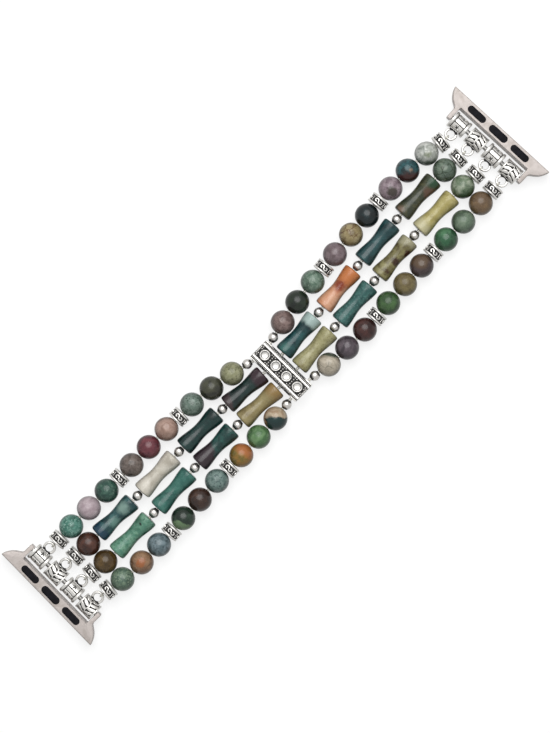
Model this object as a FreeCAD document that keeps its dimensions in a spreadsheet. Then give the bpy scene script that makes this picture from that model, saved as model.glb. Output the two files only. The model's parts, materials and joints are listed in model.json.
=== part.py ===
"""Bead watch band: four strands of stone beads on clear elastic cord.

The strands run from a silver centre bar to two metal connectors that slide into a watch case.
Millimetres. +X runs along the band, +Y across it, +Z up. The origin lies under the middle of the
centre bar, on the surface that the band rests on. The wrist side faces up.
"""
import FreeCAD, Part
import math
import os

import Sketcher

Vector = FreeCAD.Vector
Rotation = FreeCAD.Rotation
Placement = FreeCAD.Placement

# The driving sizes, in millimetres, degrees and counts
SIZES = [
    ("bead_diameter", 6.0, "Round stone bead"),
    ("bead_bore", 1.0, "Hole through beads, tubes, rounds and rings, across its flats"),
    ("bead_end_lip", 0.25, "Flat land round the hole of a bead"),
    ("bead_sides", 12, "Sides of a round bead, so that 44 of them stay light"),
    ("tube_length", 11.8, "Bamboo-shaped stone tube"),
    ("tube_end_diameter", 4.5, "Tube across its ends"),
    ("tube_waist_diameter", 3.1, "Tube across its waist"),
    ("tube_end_round", 0.4, "Rounding at the tube's ends"),
    ("tube_sides", 8, "Sides of a tube"),
    ("round_diameter", 2.5, "Small silver round"),
    ("round_end_diameter", 1.4, "Flat end of a silver round"),
    ("round_sides", 8, "Sides of a silver round"),
    ("ring_diameter", 4.8, "Spacer ring over its rims"),
    ("ring_drum_diameter", 4.3, "Spacer ring between its rims"),
    ("ring_length", 2.5, "Spacer ring along the cord"),
    ("ring_rim", 0.5, "Width of a rim of the spacer ring"),
    ("ring_rim_slope", 0.15, "Slope from the rim to the drum"),
    ("ring_sides", 10, "Sides of a spacer ring"),
    ("cord_diameter", 0.8, "Clear elastic cord"),
    ("cord_end_gap", 0.2, "Cord ends this far short of a hinge"),
    ("bead_play", 0.08, "Free play between neighbours on a strand"),
    ("hinge_play", 0.1, "Free play on each side of a hinge line"),
    ("bar_width", 4.9, "Centre bar along the band, over its rails"),
    ("bar_height", 6.0, "Centre bar from underside to stud tops"),
    ("bar_end_margin", 1.4, "From an outer cord hole to the end of the bar"),
    ("bar_core_height", 5.2, "Sunk field between the rails"),
    ("bar_rail_width", 0.9, "Rail along each long edge of the bar"),
    ("bar_rail_height", 5.7, "Height of the rails"),
    ("bar_flange", 0.5, "Thin flange outside each rail"),
    ("bar_flange_height", 4.6, "Height of the thin flanges"),
    ("bar_end_radius", 0.8, "Rounded corners of the bar, seen from above"),
    ("stud_diameter", 2.7, "Domed stud on the bar"),
    ("stud_pitch", 3.75, "From stud to stud"),
    ("bar_clearance", 0.45, "From the bar to the first hinge line"),
    ("tube_spacing", 0.3, "From the band's middle to an inner tube, at the bar"),
    ("round_spacing", 0.45, "Between an inner tube and the outer silver round, at the bar"),
    ("shoulder_spread", 0.45, "How far the outer strands step out beside their silver rounds"),
    ("bail_diameter", 4.6, "Bail barrel over its rims"),
    ("bail_drum_diameter", 4.1, "Flower bail between its rims"),
    ("bail_leaf_diameter", 4.35, "Leaf bail between its rims"),
    ("bail_length", 4.8, "Bail along the pin"),
    ("bail_rim", 0.55, "Width of a bail's rim"),
    ("bail_rim_slope", 0.2, "Slope from the rim to the drum"),
    ("bail_gap", 0.85, "Between two bails on the pin"),
    ("bail_side_gap", 0.22, "Between an outer bail and the ear"),
    ("bail_wall_gap", 0.6, "Between the bails and the connector's body"),
    ("bail_sides", 10, "Sides of a bail barrel"),
    ("loop_diameter", 3.3, "Loop of the bail, outside"),
    ("loop_wire", 0.7, "Wire of the loop"),
    ("loop_clearance", 0.65, "From the last ring to the middle of the loop's wire"),
    ("loop_sides", 8, "Sides of the bail's loop"),
    ("pin_diameter", 1.2, "Pin of the connector"),
    ("pin_clearance", 0.05, "Running clearance of a bail on the pin"),
    ("pin_seat", 0.7, "Depth of the pin's blind hole in an ear"),
    ("pin_end_play", 0.03, "End play of the pin in its holes"),
    ("connector_width", 31.5, "Connector from tip to tip"),
    ("connector_body", 3.3, "Connector body along the band"),
    ("connector_thickness", 4.0, "Connector from underside to top"),
    ("connector_bevel", 0.5, "Bevel along the watch edge"),
    ("ear_thickness", 1.1, "Ear that holds the pin"),
    ("ear_reach", 0.75, "Ear beyond the pin's axis"),
    ("wing_depth", 3.8, "Wing from the watch edge to the ear"),
    ("wing_bulge", 0.62, "How far the wing's outline bulges past a straight line"),
    ("wing_fillet", 0.8, "Hollow between a wing and its ear"),
    ("pad_length", 5.5, "Pad or latch button across the band"),
    ("pad_width", 1.8, "Pad or latch button along the band"),
    ("pad_pitch", 7.1, "From the latch button to a pad"),
    ("pad_inset", 1.6, "From the watch edge to the middle of the pads"),
    ("pad_sink", 0.5, "Depth of a pad's pocket"),
    ("pad_proud", 0.15, "How far pads and button stand proud"),
    ("latch_height", 1.4, "Latch button below the connector's top"),
    ("latch_travel", 0.8, "Travel of the latch button"),
    ("latch_clearance", 0.06, "Gap round the latch button"),
    ("latch_floor", 1.0, "Floor under the latch button's pocket"),
    ("spring_strip", 0.2, "Thickness of the latch's leaf spring"),
    ("spring_width", 1.2, "Width of the latch's leaf spring"),
    ("spring_gap", 0.05, "Between the leaf spring and what it touches"),
    ("stretch", 3.0, "How far a stretch station opens"),
    ("noon_heading", 2.0, "Degrees by which the twelve-o'clock half turns off +X"),
    ("six_heading", -1.3, "Degrees by which the six-o'clock half turns off -X"),
]

# How the strands lie at rest, at the bar's hinge line and at each row's outer hinge line:
# free space between the inner strands and the middle, and between inner and outer strands
INNER_SPACE = (None, 0.43, 0.52, 0.68, 0.1)
OUTER_SPACE = (None, 0.67, 0.9, 1.0, 0.2)
RING_INNER_SPACE = 0.05
RING_OUTER_SPACE = 0.1
# Sideways bow of each half's middle line at the same hinge lines, and at the bail's hinge line
NOON_BOW = (0.0, 0.25, 0.85, 1.3, 0.95, 0.15)
SIX_BOW = (0.0, 0.7, 0.45, -0.4, -0.6, -0.2)

# What each row holds from the bar outwards, on its outer and its inner strands
ROWS = [
    ("row_1", ("round", "bead", "bead"), ("tube", "round")),
    ("row_2", ("bead", "ring", "bead"), ("tube", "round")),
    ("row_3", ("bead", "bead", "ring"), ("tube", "round")),
    ("row_4", ("bead", "bead"), ("tube",)),
    ("end_row", ("bead", "ring"), ("bead", "ring")),
]

document = FreeCAD.newDocument("bead_watch_band")
sheet = document.addObject("Spreadsheet::Sheet", "sizes")
for line, (alias, value, meaning) in enumerate(SIZES, start=1):
    sheet.set(f"A{line}", meaning)
    sheet.set(f"B{line}", str(value))
    sheet.setAlias(f"B{line}", alias)
document.recompute()


def size(alias):
    """One driving size as a number."""
    return float(sheet.get(alias))


ITEM_LENGTH = {
    "bead": size("bead_diameter"),
    "tube": size("tube_length"),
    "round": size("round_diameter"),
    "ring": size("ring_length"),
}
bead_radius = size("bead_diameter") / 2
tube_radius = size("tube_end_diameter") / 2
cord_height = max(bead_radius, size("bar_height") / 2)
pin_height = size("bail_diameter") / 2
bail_pitch = size("bail_length") + size("bail_gap")
slot_width = 3 * bail_pitch + size("bail_length") + 2 * size("bail_side_gap")
ears_width = slot_width + 2 * size("ear_thickness")
bar_inner_hole = tube_radius + size("tube_spacing")
bar_outer_hole = bar_inner_hole + tube_radius + size("round_spacing") + size("round_diameter") / 2
bar_length = 2 * (bar_outer_hole + size("bar_end_margin"))
loop_reach = (
    size("bail_diameter") / 2
    + size("loop_diameter")
    - size("loop_wire") * 1.5
)


def facet_radius(across_flats_radius, sides):
    """Corner radius of a regular polygon whose flats touch the given radius."""
    return across_flats_radius / math.cos(math.pi / sides)


# Loft sections and turned patterns


def polygon_section(name, sides, corner_radius, along):
    """A regular polygon across the Z axis, with a flat square to X."""
    section = document.addObject("Part::RegularPolygon", name)
    section.setExpression("Polygon", sides)
    section.setExpression("Circumradius", corner_radius)
    section.Placement = Placement(Vector(0, 0, 0), Rotation(Vector(0, 0, 1), 180 / section_sides(sides)))
    section.setExpression("Placement.Base.z", along)
    return section


def section_sides(sides):
    """The number behind a count in the sheet."""
    return size(sides.split(".")[1])


def turned_solid(name, sides, profile):
    """A faceted turned solid along Z: a ruled loft through polygons of (along, radius across flats)."""
    sections = []
    for number, (along, radius) in enumerate(profile, start=1):
        corner = f"({radius}) / cos(180 deg / {sides})"
        sections.append(polygon_section(f"{name}_section_{number}", sides, corner, along))
    loft = document.addObject("Part::Loft", f"{name}_loft")
    loft.Sections = sections
    loft.Solid = True
    loft.Ruled = True
    return loft


def bored(name, solid, length, bore="sizes.bead_bore"):
    """The solid with a six-sided hole along Z, from end to end."""
    drill = document.addObject("Part::Prism", f"{name}_drill")
    drill.Polygon = 6
    drill.setExpression("Circumradius", f"{bore} / 2 / cos(30 deg)")
    drill.setExpression("Height", f"({length}) * 2")
    drill.setExpression("Placement.Base.z", f"-({length})")
    cut = document.addObject("Part::Cut", name)
    cut.Base = solid
    cut.Tool = drill
    return cut


def flat_faceted(name, sides, profile):
    """A turned solid along Z with flat facets and a six-sided bore.

    The profile is (along, radius across flats) from end to end. A ruled loft would give warped
    patches where the radius changes fast, so these solids are sewn from flat faces.
    """
    def corners(count, across_flats_radius, along):
        """Corners of a regular polygon with a flat square to X."""
        reach = facet_radius(across_flats_radius, count)
        turns = [math.tau * (index + 0.5) / count for index in range(count)]
        return [Vector(reach * math.cos(turn), reach * math.sin(turn), along) for turn in turns]

    def band(low, high):
        """Flat quads between two polygons of as many corners."""
        for index in range(len(low)):
            after = (index + 1) % len(low)
            quad = [low[index], low[after], high[after], high[index], low[index]]
            yield Part.Face(Part.makePolygon(quad))

    outside = [corners(sides, radius, along) for along, radius in profile]
    bore = [corners(6, size("bead_bore") / 2, along) for along in (profile[0][0], profile[-1][0])]
    faces = [face for low, high in zip(outside, outside[1:]) for face in band(low, high)]
    faces += band(*bore)
    for rim, hole in ((outside[0], bore[0]), (outside[-1], bore[1])):
        disc, eye = (Part.Face(Part.makePolygon(points + points[:1])) for points in (rim, hole))
        faces += disc.cut(eye).Faces
    solid = Part.makeSolid(Part.makeShell(faces))
    if solid.Volume < 0:
        solid.reverse()
    feature = document.addObject("Part::Feature", name)
    feature.Shape = solid
    return feature


def mirrored_profile(outer_half):
    """A whole profile from the half beyond the middle."""
    return [(-along, radius) for along, radius in reversed(outer_half)] + outer_half


def make_round_bead():
    """A round bead: four bands of facets between the two lands round its hole."""
    bands = 4
    land = facet_radius(size("bead_bore") / 2, 6) + size("bead_end_lip")
    start = math.asin(land / bead_radius)
    profile = []
    for band in range(bands + 1):
        polar = start + band / bands * (math.pi - 2 * start)
        profile.append((-bead_radius * math.cos(polar), bead_radius * math.sin(polar)))
    return flat_faceted("round_bead", int(size("bead_sides")), profile)


def make_bamboo_tube():
    """A long bead, drawn in at its waist and rounded at its ends."""
    half = size("tube_length") / 2
    round_off = size("tube_end_round")
    waist = size("tube_waist_diameter") / 2
    hollow_share = 0.45
    hollow = waist + (tube_radius - waist) * hollow_share ** 2
    outer_half = [
        (hollow_share * (half - round_off), hollow),
        (half - round_off, tube_radius),
        (half, tube_radius - round_off),
    ]
    return flat_faceted("bamboo_tube", int(size("tube_sides")), mirrored_profile(outer_half))


def make_silver_round():
    """A small silver round with flat ends."""
    radius = size("round_diameter") / 2
    outer_half = [(radius / 2, radius), (radius, size("round_end_diameter") / 2)]
    return flat_faceted("silver_round", int(size("round_sides")), mirrored_profile(outer_half))


def rimmed_profile(length, rim, slope, rim_radius, drum_radius):
    """Half profile of a drum between two rims, mirrored to a whole one."""
    half = f"{length} / 2"
    outer_half = [
        (f"{half} - {rim} - {slope}", drum_radius),
        (f"{half} - {rim}", rim_radius),
        (half, rim_radius),
    ]
    return [(f"-({along})", radius) for along, radius in reversed(outer_half)] + outer_half


def make_spacer_ring():
    """A silver spacer ring: two rims with a sunk drum between them."""
    profile = rimmed_profile(
        "sizes.ring_length",
        "sizes.ring_rim",
        "sizes.ring_rim_slope",
        "sizes.ring_diameter / 2",
        "sizes.ring_drum_diameter / 2",
    )
    loft = turned_solid("spacer_ring", "sizes.ring_sides", profile)
    return bored("spacer_ring", loft, "sizes.ring_length")


def make_bail(name, drum):
    """A barrel on the pin, along Z, with a flat loop beside it towards -X."""
    profile = rimmed_profile(
        "sizes.bail_length",
        "sizes.bail_rim",
        "sizes.bail_rim_slope",
        "sizes.bail_diameter / 2",
        f"{drum} / 2",
    )
    barrel = turned_solid(f"{name}_barrel", "sizes.bail_sides", profile)
    loop_middle = -(loop_reach - size("loop_diameter") / 2 + size("loop_wire") / 2)
    across = Rotation(Vector(1, 0, 0), 90)
    plate = document.addObject("Part::Prism", f"{name}_loop_plate")
    plate.setExpression("Polygon", "sizes.loop_sides")
    plate.setExpression("Circumradius", "sizes.loop_diameter / 2 / cos(180 deg / sizes.loop_sides)")
    plate.setExpression("Height", "sizes.loop_wire")
    turn = Rotation(Vector(0, 0, 1), 180 / size("loop_sides"))
    plate.Placement = Placement(Vector(loop_middle, size("loop_wire") / 2, 0), across.multiply(turn))
    body = document.addObject("Part::Fuse", f"{name}_body")
    body.Base = barrel
    body.Tool = plate
    eye = document.addObject("Part::Prism", f"{name}_eye")
    eye.setExpression("Polygon", "sizes.loop_sides")
    eye.setExpression(
        "Circumradius",
        "(sizes.loop_diameter / 2 - sizes.loop_wire) / cos(180 deg / sizes.loop_sides)",
    )
    eye.setExpression("Height", "sizes.loop_wire * 4")
    eye.Placement = Placement(Vector(loop_middle, size("loop_wire") * 2, 0), across.multiply(turn))
    looped = document.addObject("Part::Cut", f"{name}_looped")
    looped.Base = body
    looped.Tool = eye
    bore = "(sizes.pin_diameter + 2 * sizes.pin_clearance)"
    return bored(name, looped, "sizes.bail_length", bore)


# Bodies built from sketches


def origin_plane(body, role):
    """One of a body's own origin planes."""
    return next(plane for plane in body.Origin.OriginFeatures if plane.Role == role)


def new_sketch(body, name, role, offset=None):
    """A sketch on one of the body's origin planes, lifted off it by an expression."""
    sketch = body.newObject("Sketcher::SketchObject", name)
    sketch.AttachmentSupport = [(origin_plane(body, role), "")]
    sketch.MapMode = "FlatFace"
    if offset:
        sketch.setExpression("AttachmentOffset.Base.z", offset)
    return sketch


def driven(sketch, constraint, expression):
    """Adds a constraint whose value follows the sheet."""
    index = sketch.addConstraint(constraint)
    sketch.setExpression(f"Constraints[{index}]", expression)


def draw_rectangle(sketch, left, right, low, high):
    """A rectangle whose four sides each follow an expression, measured from the sketch's origin."""
    corners = [Vector(-1, -1, 0), Vector(1, -1, 0), Vector(1, 1, 0), Vector(-1, 1, 0)]
    first = sketch.GeometryCount
    for index in range(4):
        sketch.addGeometry(Part.LineSegment(corners[index], corners[(index + 1) % 4]))
    for index in range(4):
        sketch.addConstraint(
            Sketcher.Constraint("Coincident", first + index, 2, first + (index + 1) % 4, 1)
        )
    for index in (0, 2):
        sketch.addConstraint(Sketcher.Constraint("Horizontal", first + index))
        sketch.addConstraint(Sketcher.Constraint("Vertical", first + index + 1))
    driven(sketch, Sketcher.Constraint("DistanceX", -1, 1, first, 1, -1.0), left)
    driven(sketch, Sketcher.Constraint("DistanceY", -1, 1, first, 1, -1.0), low)
    driven(sketch, Sketcher.Constraint("DistanceX", -1, 1, first + 1, 2, 1.0), right)
    driven(sketch, Sketcher.Constraint("DistanceY", -1, 1, first + 1, 2, 1.0), high)


def draw_circle(sketch, x, y, diameter):
    """A circle whose place and size follow expressions."""
    circle = sketch.addGeometry(Part.Circle(Vector(1, 1, 0), Vector(0, 0, 1), 0.5))
    driven(sketch, Sketcher.Constraint("DistanceX", -1, 1, circle, 3, 1.0), x)
    driven(sketch, Sketcher.Constraint("DistanceY", -1, 1, circle, 3, 1.0), y)
    driven(sketch, Sketcher.Constraint("Diameter", circle, 1.0), diameter)


def draw_pill(sketch, places, growth=0.0):
    """Pills at the pads' distance from the pin, longer across the band, at multiples of the pitch.

    A pill is two half circles joined by lines. The growth is added all round it.
    """
    up = Vector(0, 0, 1)
    x = pin_to_edge() - size("pad_inset")
    radius = size("pad_width") / 2 + growth
    half = (size("pad_length") - size("pad_width")) / 2
    pad_x = "sizes.bail_diameter / 2 + sizes.bail_wall_gap + sizes.connector_body - sizes.pad_inset"
    straight = "(sizes.pad_length - sizes.pad_width)"
    for place in places:
        y = place * size("pad_pitch")
        top_circle = Part.Circle(Vector(x, y + half, 0), up, radius)
        low_circle = Part.Circle(Vector(x, y - half, 0), up, radius)
        top = sketch.addGeometry(Part.ArcOfCircle(top_circle, 0, math.pi))
        left = sketch.addGeometry(
            Part.LineSegment(Vector(x - radius, y + half, 0), Vector(x - radius, y - half, 0))
        )
        low = sketch.addGeometry(Part.ArcOfCircle(low_circle, math.pi, math.tau))
        right = sketch.addGeometry(
            Part.LineSegment(Vector(x + radius, y - half, 0), Vector(x + radius, y + half, 0))
        )
        for first, second in ((top, left), (left, low), (low, right), (right, top)):
            sketch.addConstraint(Sketcher.Constraint("Tangent", first, 2, second, 1))
        driven(sketch, Sketcher.Constraint("Radius", top, radius), f"sizes.pad_width / 2 + {growth}")
        driven(sketch, Sketcher.Constraint("DistanceX", -1, 1, top, 3, x), pad_x)
        driven(sketch, Sketcher.Constraint("DistanceX", -1, 1, low, 3, x), pad_x)
        for arc, sign in ((top, "+"), (low, "-")):
            middle = y + half if sign == "+" else y - half
            height = f"{place} * sizes.pad_pitch {sign} {straight} / 2"
            driven(sketch, Sketcher.Constraint("DistanceY", -1, 1, arc, 3, middle), height)


def add_feature(body, kind, name, sketch, **options):
    """A pad, pocket or revolution of a sketch; text options are expressions."""
    feature = body.newObject(f"PartDesign::{kind}", name)
    feature.Profile = sketch
    for option, value in options.items():
        if isinstance(value, str):
            feature.setExpression(option, value)
        else:
            setattr(feature, option, value)
    return feature


def new_body(name):
    """An empty body."""
    return document.addObject("PartDesign::Body", name)


def edges_along(shape, direction, test):
    """Names of the straight edges that run along a direction and pass a test of their middle."""
    names = []
    for number, edge in enumerate(shape.Edges, start=1):
        if edge.Curve.TypeId != "Part::GeomLine":
            continue
        run = edge.Vertexes[-1].Point.sub(edge.Vertexes[0].Point)
        if abs(abs(run.normalize().dot(direction)) - 1) < 1e-6 and test(edge.CenterOfMass):
            names.append(f"Edge{number}")
    return names


def dress_edges(body, kind, name, edges, **sizes):
    """A fillet or chamfer on edges of the body so far; each size is an expression."""
    solid_so_far = body.Tip
    feature = body.newObject(f"PartDesign::{kind}", name)
    feature.Base = (solid_so_far, edges)
    for option, expression in sizes.items():
        feature.setExpression(option, expression)
    body.Tip = feature


def make_centre_bar():
    """The silver bar in the middle: rails, thin flanges, studs and four cord holes."""
    body = new_body("centre_bar_body")
    half_length = f"{bar_length / 2:.6f}"
    half_width = "sizes.bar_width / 2"
    outline = new_sketch(body, "bar_rail_outline", "XY_Plane")
    draw_rectangle(outline, f"-{half_width}", half_width, f"-{half_length}", half_length)
    add_feature(body, "Pad", "bar_rails", outline, Length="sizes.bar_rail_height")
    document.recompute()
    upright = edges_along(body.Shape, Vector(0, 0, 1), lambda middle: True)
    dress_edges(body, "Fillet", "bar_corners", upright, Radius="sizes.bar_end_radius")
    field = new_sketch(body, "bar_field_outline", "XY_Plane", "sizes.bar_rail_height")
    inner = f"({half_width} - sizes.bar_rail_width)"
    field_end = f"({half_length} - sizes.bar_rail_width)"
    draw_rectangle(field, f"-{inner}", inner, f"-{field_end}", field_end)
    depth = "sizes.bar_rail_height - sizes.bar_core_height"
    add_feature(body, "Pocket", "bar_field", field, Length=depth)
    flange = new_sketch(body, "bar_flange_outline", "XY_Plane")
    flange_half = f"({half_width} + sizes.bar_flange)"
    flange_end = f"({half_length} - sizes.bar_end_radius)"
    draw_rectangle(flange, f"-{flange_half}", flange_half, f"-{flange_end}", flange_end)
    add_feature(body, "Pad", "bar_flanges", flange, Length="sizes.bar_flange_height")
    stud = new_sketch(body, "stud_outline", "XY_Plane", "sizes.bar_core_height")
    draw_circle(stud, "0", "-1.5 * sizes.stud_pitch", "sizes.stud_diameter")
    rise = "sizes.bar_height - sizes.bar_core_height"
    first_stud = add_feature(body, "Pad", "stud", stud, Length=rise)
    pattern = body.newObject("PartDesign::LinearPattern", "stud_pattern")
    pattern.Originals = [first_stud]
    pattern.Direction = (stud, ["V_Axis"])
    pattern.setExpression("Length", "3 * sizes.stud_pitch")
    pattern.Occurrences = 4
    body.Tip = pattern
    holes = new_sketch(body, "cord_holes", "YZ_Plane")
    for place in (-bar_outer_hole, -bar_inner_hole, bar_inner_hole, bar_outer_hole):
        draw_circle(holes, f"{place:.6f}", f"{cord_height:.6f}", "sizes.bead_bore")
    add_feature(
        body, "Pocket", "cord_hole_drillings", holes, Midplane=True, Length=f"4 * {flange_half}"
    )
    return body


def make_connector_frame():
    """The metal connector, drawn with its pin's axis over the origin and its watch edge towards +X."""
    body = new_body("connector_frame_body")
    pin_to_wall = "(sizes.bail_diameter / 2 + sizes.bail_wall_gap)"
    watch_edge = f"({pin_to_wall} + sizes.connector_body)"
    ears = f"{ears_width / 2:.6f}"
    outline = new_sketch(body, "ears_outline", "XY_Plane")
    draw_rectangle(outline, "-sizes.ear_reach", watch_edge, f"-{ears}", ears)
    thickness = "sizes.connector_thickness"
    add_feature(body, "Pad", "connector_block", outline, Length=thickness)
    slot = new_sketch(body, "slot_outline", "XY_Plane")
    slot_half = f"{slot_width / 2:.6f}"
    draw_rectangle(slot, "-sizes.ear_reach * 2", pin_to_wall, f"-{slot_half}", slot_half)
    add_feature(
        body, "Pocket", "connector_slot", slot, Midplane=True, Length="sizes.connector_thickness * 3"
    )
    wing = new_sketch(body, "wing_outline", "XY_Plane")
    draw_wing(wing, watch_edge, ears)
    first_wing = add_feature(body, "Pad", "wing", wing, Length=thickness)
    other_wing = body.newObject("PartDesign::Mirrored", "other_wing")
    other_wing.Originals = [first_wing]
    other_wing.MirrorPlane = (origin_plane(body, "XZ_Plane"), [""])
    body.Tip = other_wing
    document.recompute()
    wing_foot = wing_corner()
    hollows = edges_along(
        body.Shape,
        Vector(0, 0, 1),
        lambda middle: abs(middle.x - wing_foot.x) < 0.01 and abs(abs(middle.y) - wing_foot.y) < 0.01,
    )
    dress_edges(body, "Fillet", "wing_hollows", hollows, Radius="sizes.wing_fillet")
    document.recompute()
    edge_x = pin_to_edge()
    long_edges = edges_along(
        body.Shape, Vector(0, 1, 0), lambda middle: abs(middle.x - edge_x) < 0.01
    )
    dress_edges(body, "Chamfer", "watch_edge_bevel", long_edges, Size="sizes.connector_bevel")
    pad_pockets = new_sketch(body, "pad_pocket_outline", "XY_Plane", thickness)
    draw_pill(pad_pockets, (-1, 1))
    add_feature(body, "Pocket", "pad_pockets", pad_pockets, Length="sizes.pad_sink")
    latch_pocket = new_sketch(body, "latch_pocket_outline", "XY_Plane", thickness)
    draw_pill(latch_pocket, (0,), size("latch_clearance"))
    deep = "sizes.connector_thickness - sizes.latch_floor"
    add_feature(body, "Pocket", "latch_pocket", latch_pocket, Length=deep)
    pin_holes = new_sketch(body, "pin_hole_outline", "XZ_Plane")
    draw_circle(pin_holes, "0", f"{pin_height:.6f}", "sizes.pin_diameter")
    blind = f"{slot_width:.6f} + 2 * sizes.pin_seat"
    add_feature(body, "Pocket", "pin_holes", pin_holes, Midplane=True, Length=blind)
    return body


def pin_to_edge():
    """From the pin's axis to the watch edge."""
    return size("bail_diameter") / 2 + size("bail_wall_gap") + size("connector_body")


def wing_corner():
    """Where the wing's outline meets the ear."""
    return Vector(pin_to_edge() - size("wing_depth"), ears_width / 2, 0)


def draw_wing(sketch, watch_edge, ears):
    """The wing's outline: the watch edge, a bulging curve from the tip to the ear, and the root."""
    tip = Vector(pin_to_edge(), size("connector_width") / 2, 0)
    foot = wing_corner()
    root = Vector(pin_to_edge(), ears_width / 2 - size("ear_thickness") / 2, 0)
    inner = Vector(foot.x, root.y, 0)
    middle = (tip + foot) * 0.5
    outward = Vector(-(foot.y - tip.y), foot.x - tip.x, 0).normalize()
    if outward.y < 0:
        outward = outward * -1
    crown = middle + outward * size("wing_bulge")
    sketch.addGeometry(Part.LineSegment(root, tip))
    sketch.addGeometry(Part.Arc(tip, crown, foot))
    sketch.addGeometry(Part.LineSegment(foot, inner))
    sketch.addGeometry(Part.LineSegment(inner, root))
    arc_starts_at_tip = sketch.getPoint(1, 1).sub(tip).Length < 1e-6
    arc_tip, arc_foot = (1, 2) if arc_starts_at_tip else (2, 1)
    sketch.addConstraint(Sketcher.Constraint("Coincident", 0, 2, 1, arc_tip))
    sketch.addConstraint(Sketcher.Constraint("Coincident", 1, arc_foot, 2, 1))
    sketch.addConstraint(Sketcher.Constraint("Coincident", 2, 2, 3, 1))
    sketch.addConstraint(Sketcher.Constraint("Coincident", 3, 2, 0, 1))
    sketch.addConstraint(Sketcher.Constraint("Vertical", 0))
    sketch.addConstraint(Sketcher.Constraint("Vertical", 2))
    sketch.addConstraint(Sketcher.Constraint("Horizontal", 3))
    driven(sketch, Sketcher.Constraint("DistanceX", -1, 1, 0, 2, tip.x), watch_edge)
    driven(sketch, Sketcher.Constraint("DistanceY", -1, 1, 0, 2, tip.y), "sizes.connector_width / 2")
    driven(sketch, Sketcher.Constraint("DistanceX", -1, 1, 2, 1, foot.x), f"{watch_edge} - sizes.wing_depth")
    driven(sketch, Sketcher.Constraint("DistanceY", -1, 1, 2, 1, foot.y), ears)
    driven(sketch, Sketcher.Constraint("DistanceY", -1, 1, 0, 1, root.y), f"{ears} - sizes.ear_thickness / 2")
    chord = "sqrt((sizes.connector_width / 2 - {0}) ^ 2 + sizes.wing_depth ^ 2)".format(ears)
    radius = f"(({chord}) ^ 2 / 4 + sizes.wing_bulge ^ 2) / (2 * sizes.wing_bulge)"
    driven(sketch, Sketcher.Constraint("Radius", 1, sketch.Geometry[1].Radius), radius)


def make_pill(name, height, top):
    """A flat pill with its top at a height, drawn at the latch button's place in the connector."""
    body = new_body(f"{name}_body")
    outline = new_sketch(body, f"{name}_outline", "XY_Plane", f"({top}) - ({height})")
    draw_pill(outline, (0,))
    add_feature(body, "Pad", f"{name}_pad", outline, Length=height)
    return body


def make_connector_pin():
    """The plain pin between the ears."""
    pin = document.addObject("Part::Cylinder", "connector_pin_rod")
    pin.setExpression("Radius", "sizes.pin_diameter / 2")
    pin.setExpression("Height", f"{slot_width:.6f} + 2 * (sizes.pin_seat - sizes.pin_end_play)")
    reach = slot_width / 2 + size("pin_seat") - size("pin_end_play")
    pin.Placement = Placement(Vector(0, reach, pin_height), Rotation(Vector(1, 0, 0), 90))
    return pin


def make_latch_spring():
    """A bowed leaf spring between the pocket's floor and the latch button."""
    low = size("latch_floor") + size("spring_gap")
    high = size("connector_thickness") - size("latch_height") - size("spring_gap")
    half = size("pad_length") / 2 - size("pad_width") / 4
    strip = size("spring_strip")
    middle_x = pin_to_edge() - size("pad_inset")
    def bow(lift):
        """The strip's lower or upper line, in the plane across the band."""
        ends = (-half, low + lift), (0.0, high - strip + lift), (half, low + lift)
        points = [Vector(middle_x, y, z) for y, z in ends]
        return Part.Arc(*points).toShape()
    lower, upper = bow(0.0), bow(strip)
    sides = [
        Part.LineSegment(lower.Vertexes[end].Point, upper.Vertexes[end].Point).toShape()
        for end in (0, 1)
    ]
    face = Part.Face(Part.Wire([lower, sides[1], upper, sides[0]]))
    width = size("spring_width")
    spring = document.addObject("Part::Feature", "latch_spring_leaf")
    spring.Shape = face.extrude(Vector(width, 0, 0))
    spring.Placement = Placement(Vector(-width / 2, 0, 0), Rotation())
    return spring


# Where everything lies


def strand_needs(items):
    """Length of a strand's pieces in one row, with the play between them."""
    return sum(ITEM_LENGTH[item] for item in items) + (len(items) - 1) * size("bead_play")


def row_length(outer, inner):
    """From one hinge line to the next: the longer strand plus the play at both ends."""
    return max(strand_needs(outer), strand_needs(inner)) + 2 * size("hinge_play")


def item_centres(items, start, length):
    """Centres of a strand's pieces, spread evenly over a row."""
    slack = (length - strand_needs(items) - 2 * size("hinge_play")) / (len(items) + 1)
    place = start + size("hinge_play") + slack
    centres = []
    for item in items:
        centres.append(place + ITEM_LENGTH[item] / 2)
        place += ITEM_LENGTH[item] + size("bead_play") + slack
    return centres


def hinge_lines():
    """Distances from the band's middle to the hinge lines at the rows' ends."""
    lines = [size("bar_width") / 2 + size("bar_flange") + size("bar_clearance")]
    for _, outer, inner in ROWS[:-1]:
        lines.append(lines[-1] + row_length(outer, inner))
    return lines


HINGES = hinge_lines()
END_ROW_LENGTH = strand_needs(ROWS[-1][1]) + size("hinge_play")
RING_END = HINGES[-1] + END_ROW_LENGTH
BAIL_HINGE = RING_END + size("loop_clearance")
BAIL_TILT = math.asin((cord_height - pin_height) / loop_reach)
PIN_LINE = BAIL_HINGE + loop_reach * math.cos(BAIL_TILT)


def strand_spreads():
    """Half spreads of the inner and outer strands at the hinge lines, then at the last ring's end."""
    inner = [bar_inner_hole]
    outer = [bar_outer_hole]
    for space_in, space_out in zip(INNER_SPACE[1:4], OUTER_SPACE[1:4]):
        inner.append(tube_radius + space_in)
        outer.append(inner[-1] + tube_radius + bead_radius + space_out)
    inner.append(bead_radius + INNER_SPACE[4])
    outer.append(inner[-1] + 2 * bead_radius + OUTER_SPACE[4])
    inner.append(max(bail_pitch / 2, size("ring_diameter") / 2 + RING_INNER_SPACE))
    outer.append(inner[-1] + max(bail_pitch, size("ring_diameter") + RING_OUTER_SPACE))
    return inner, outer


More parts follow.
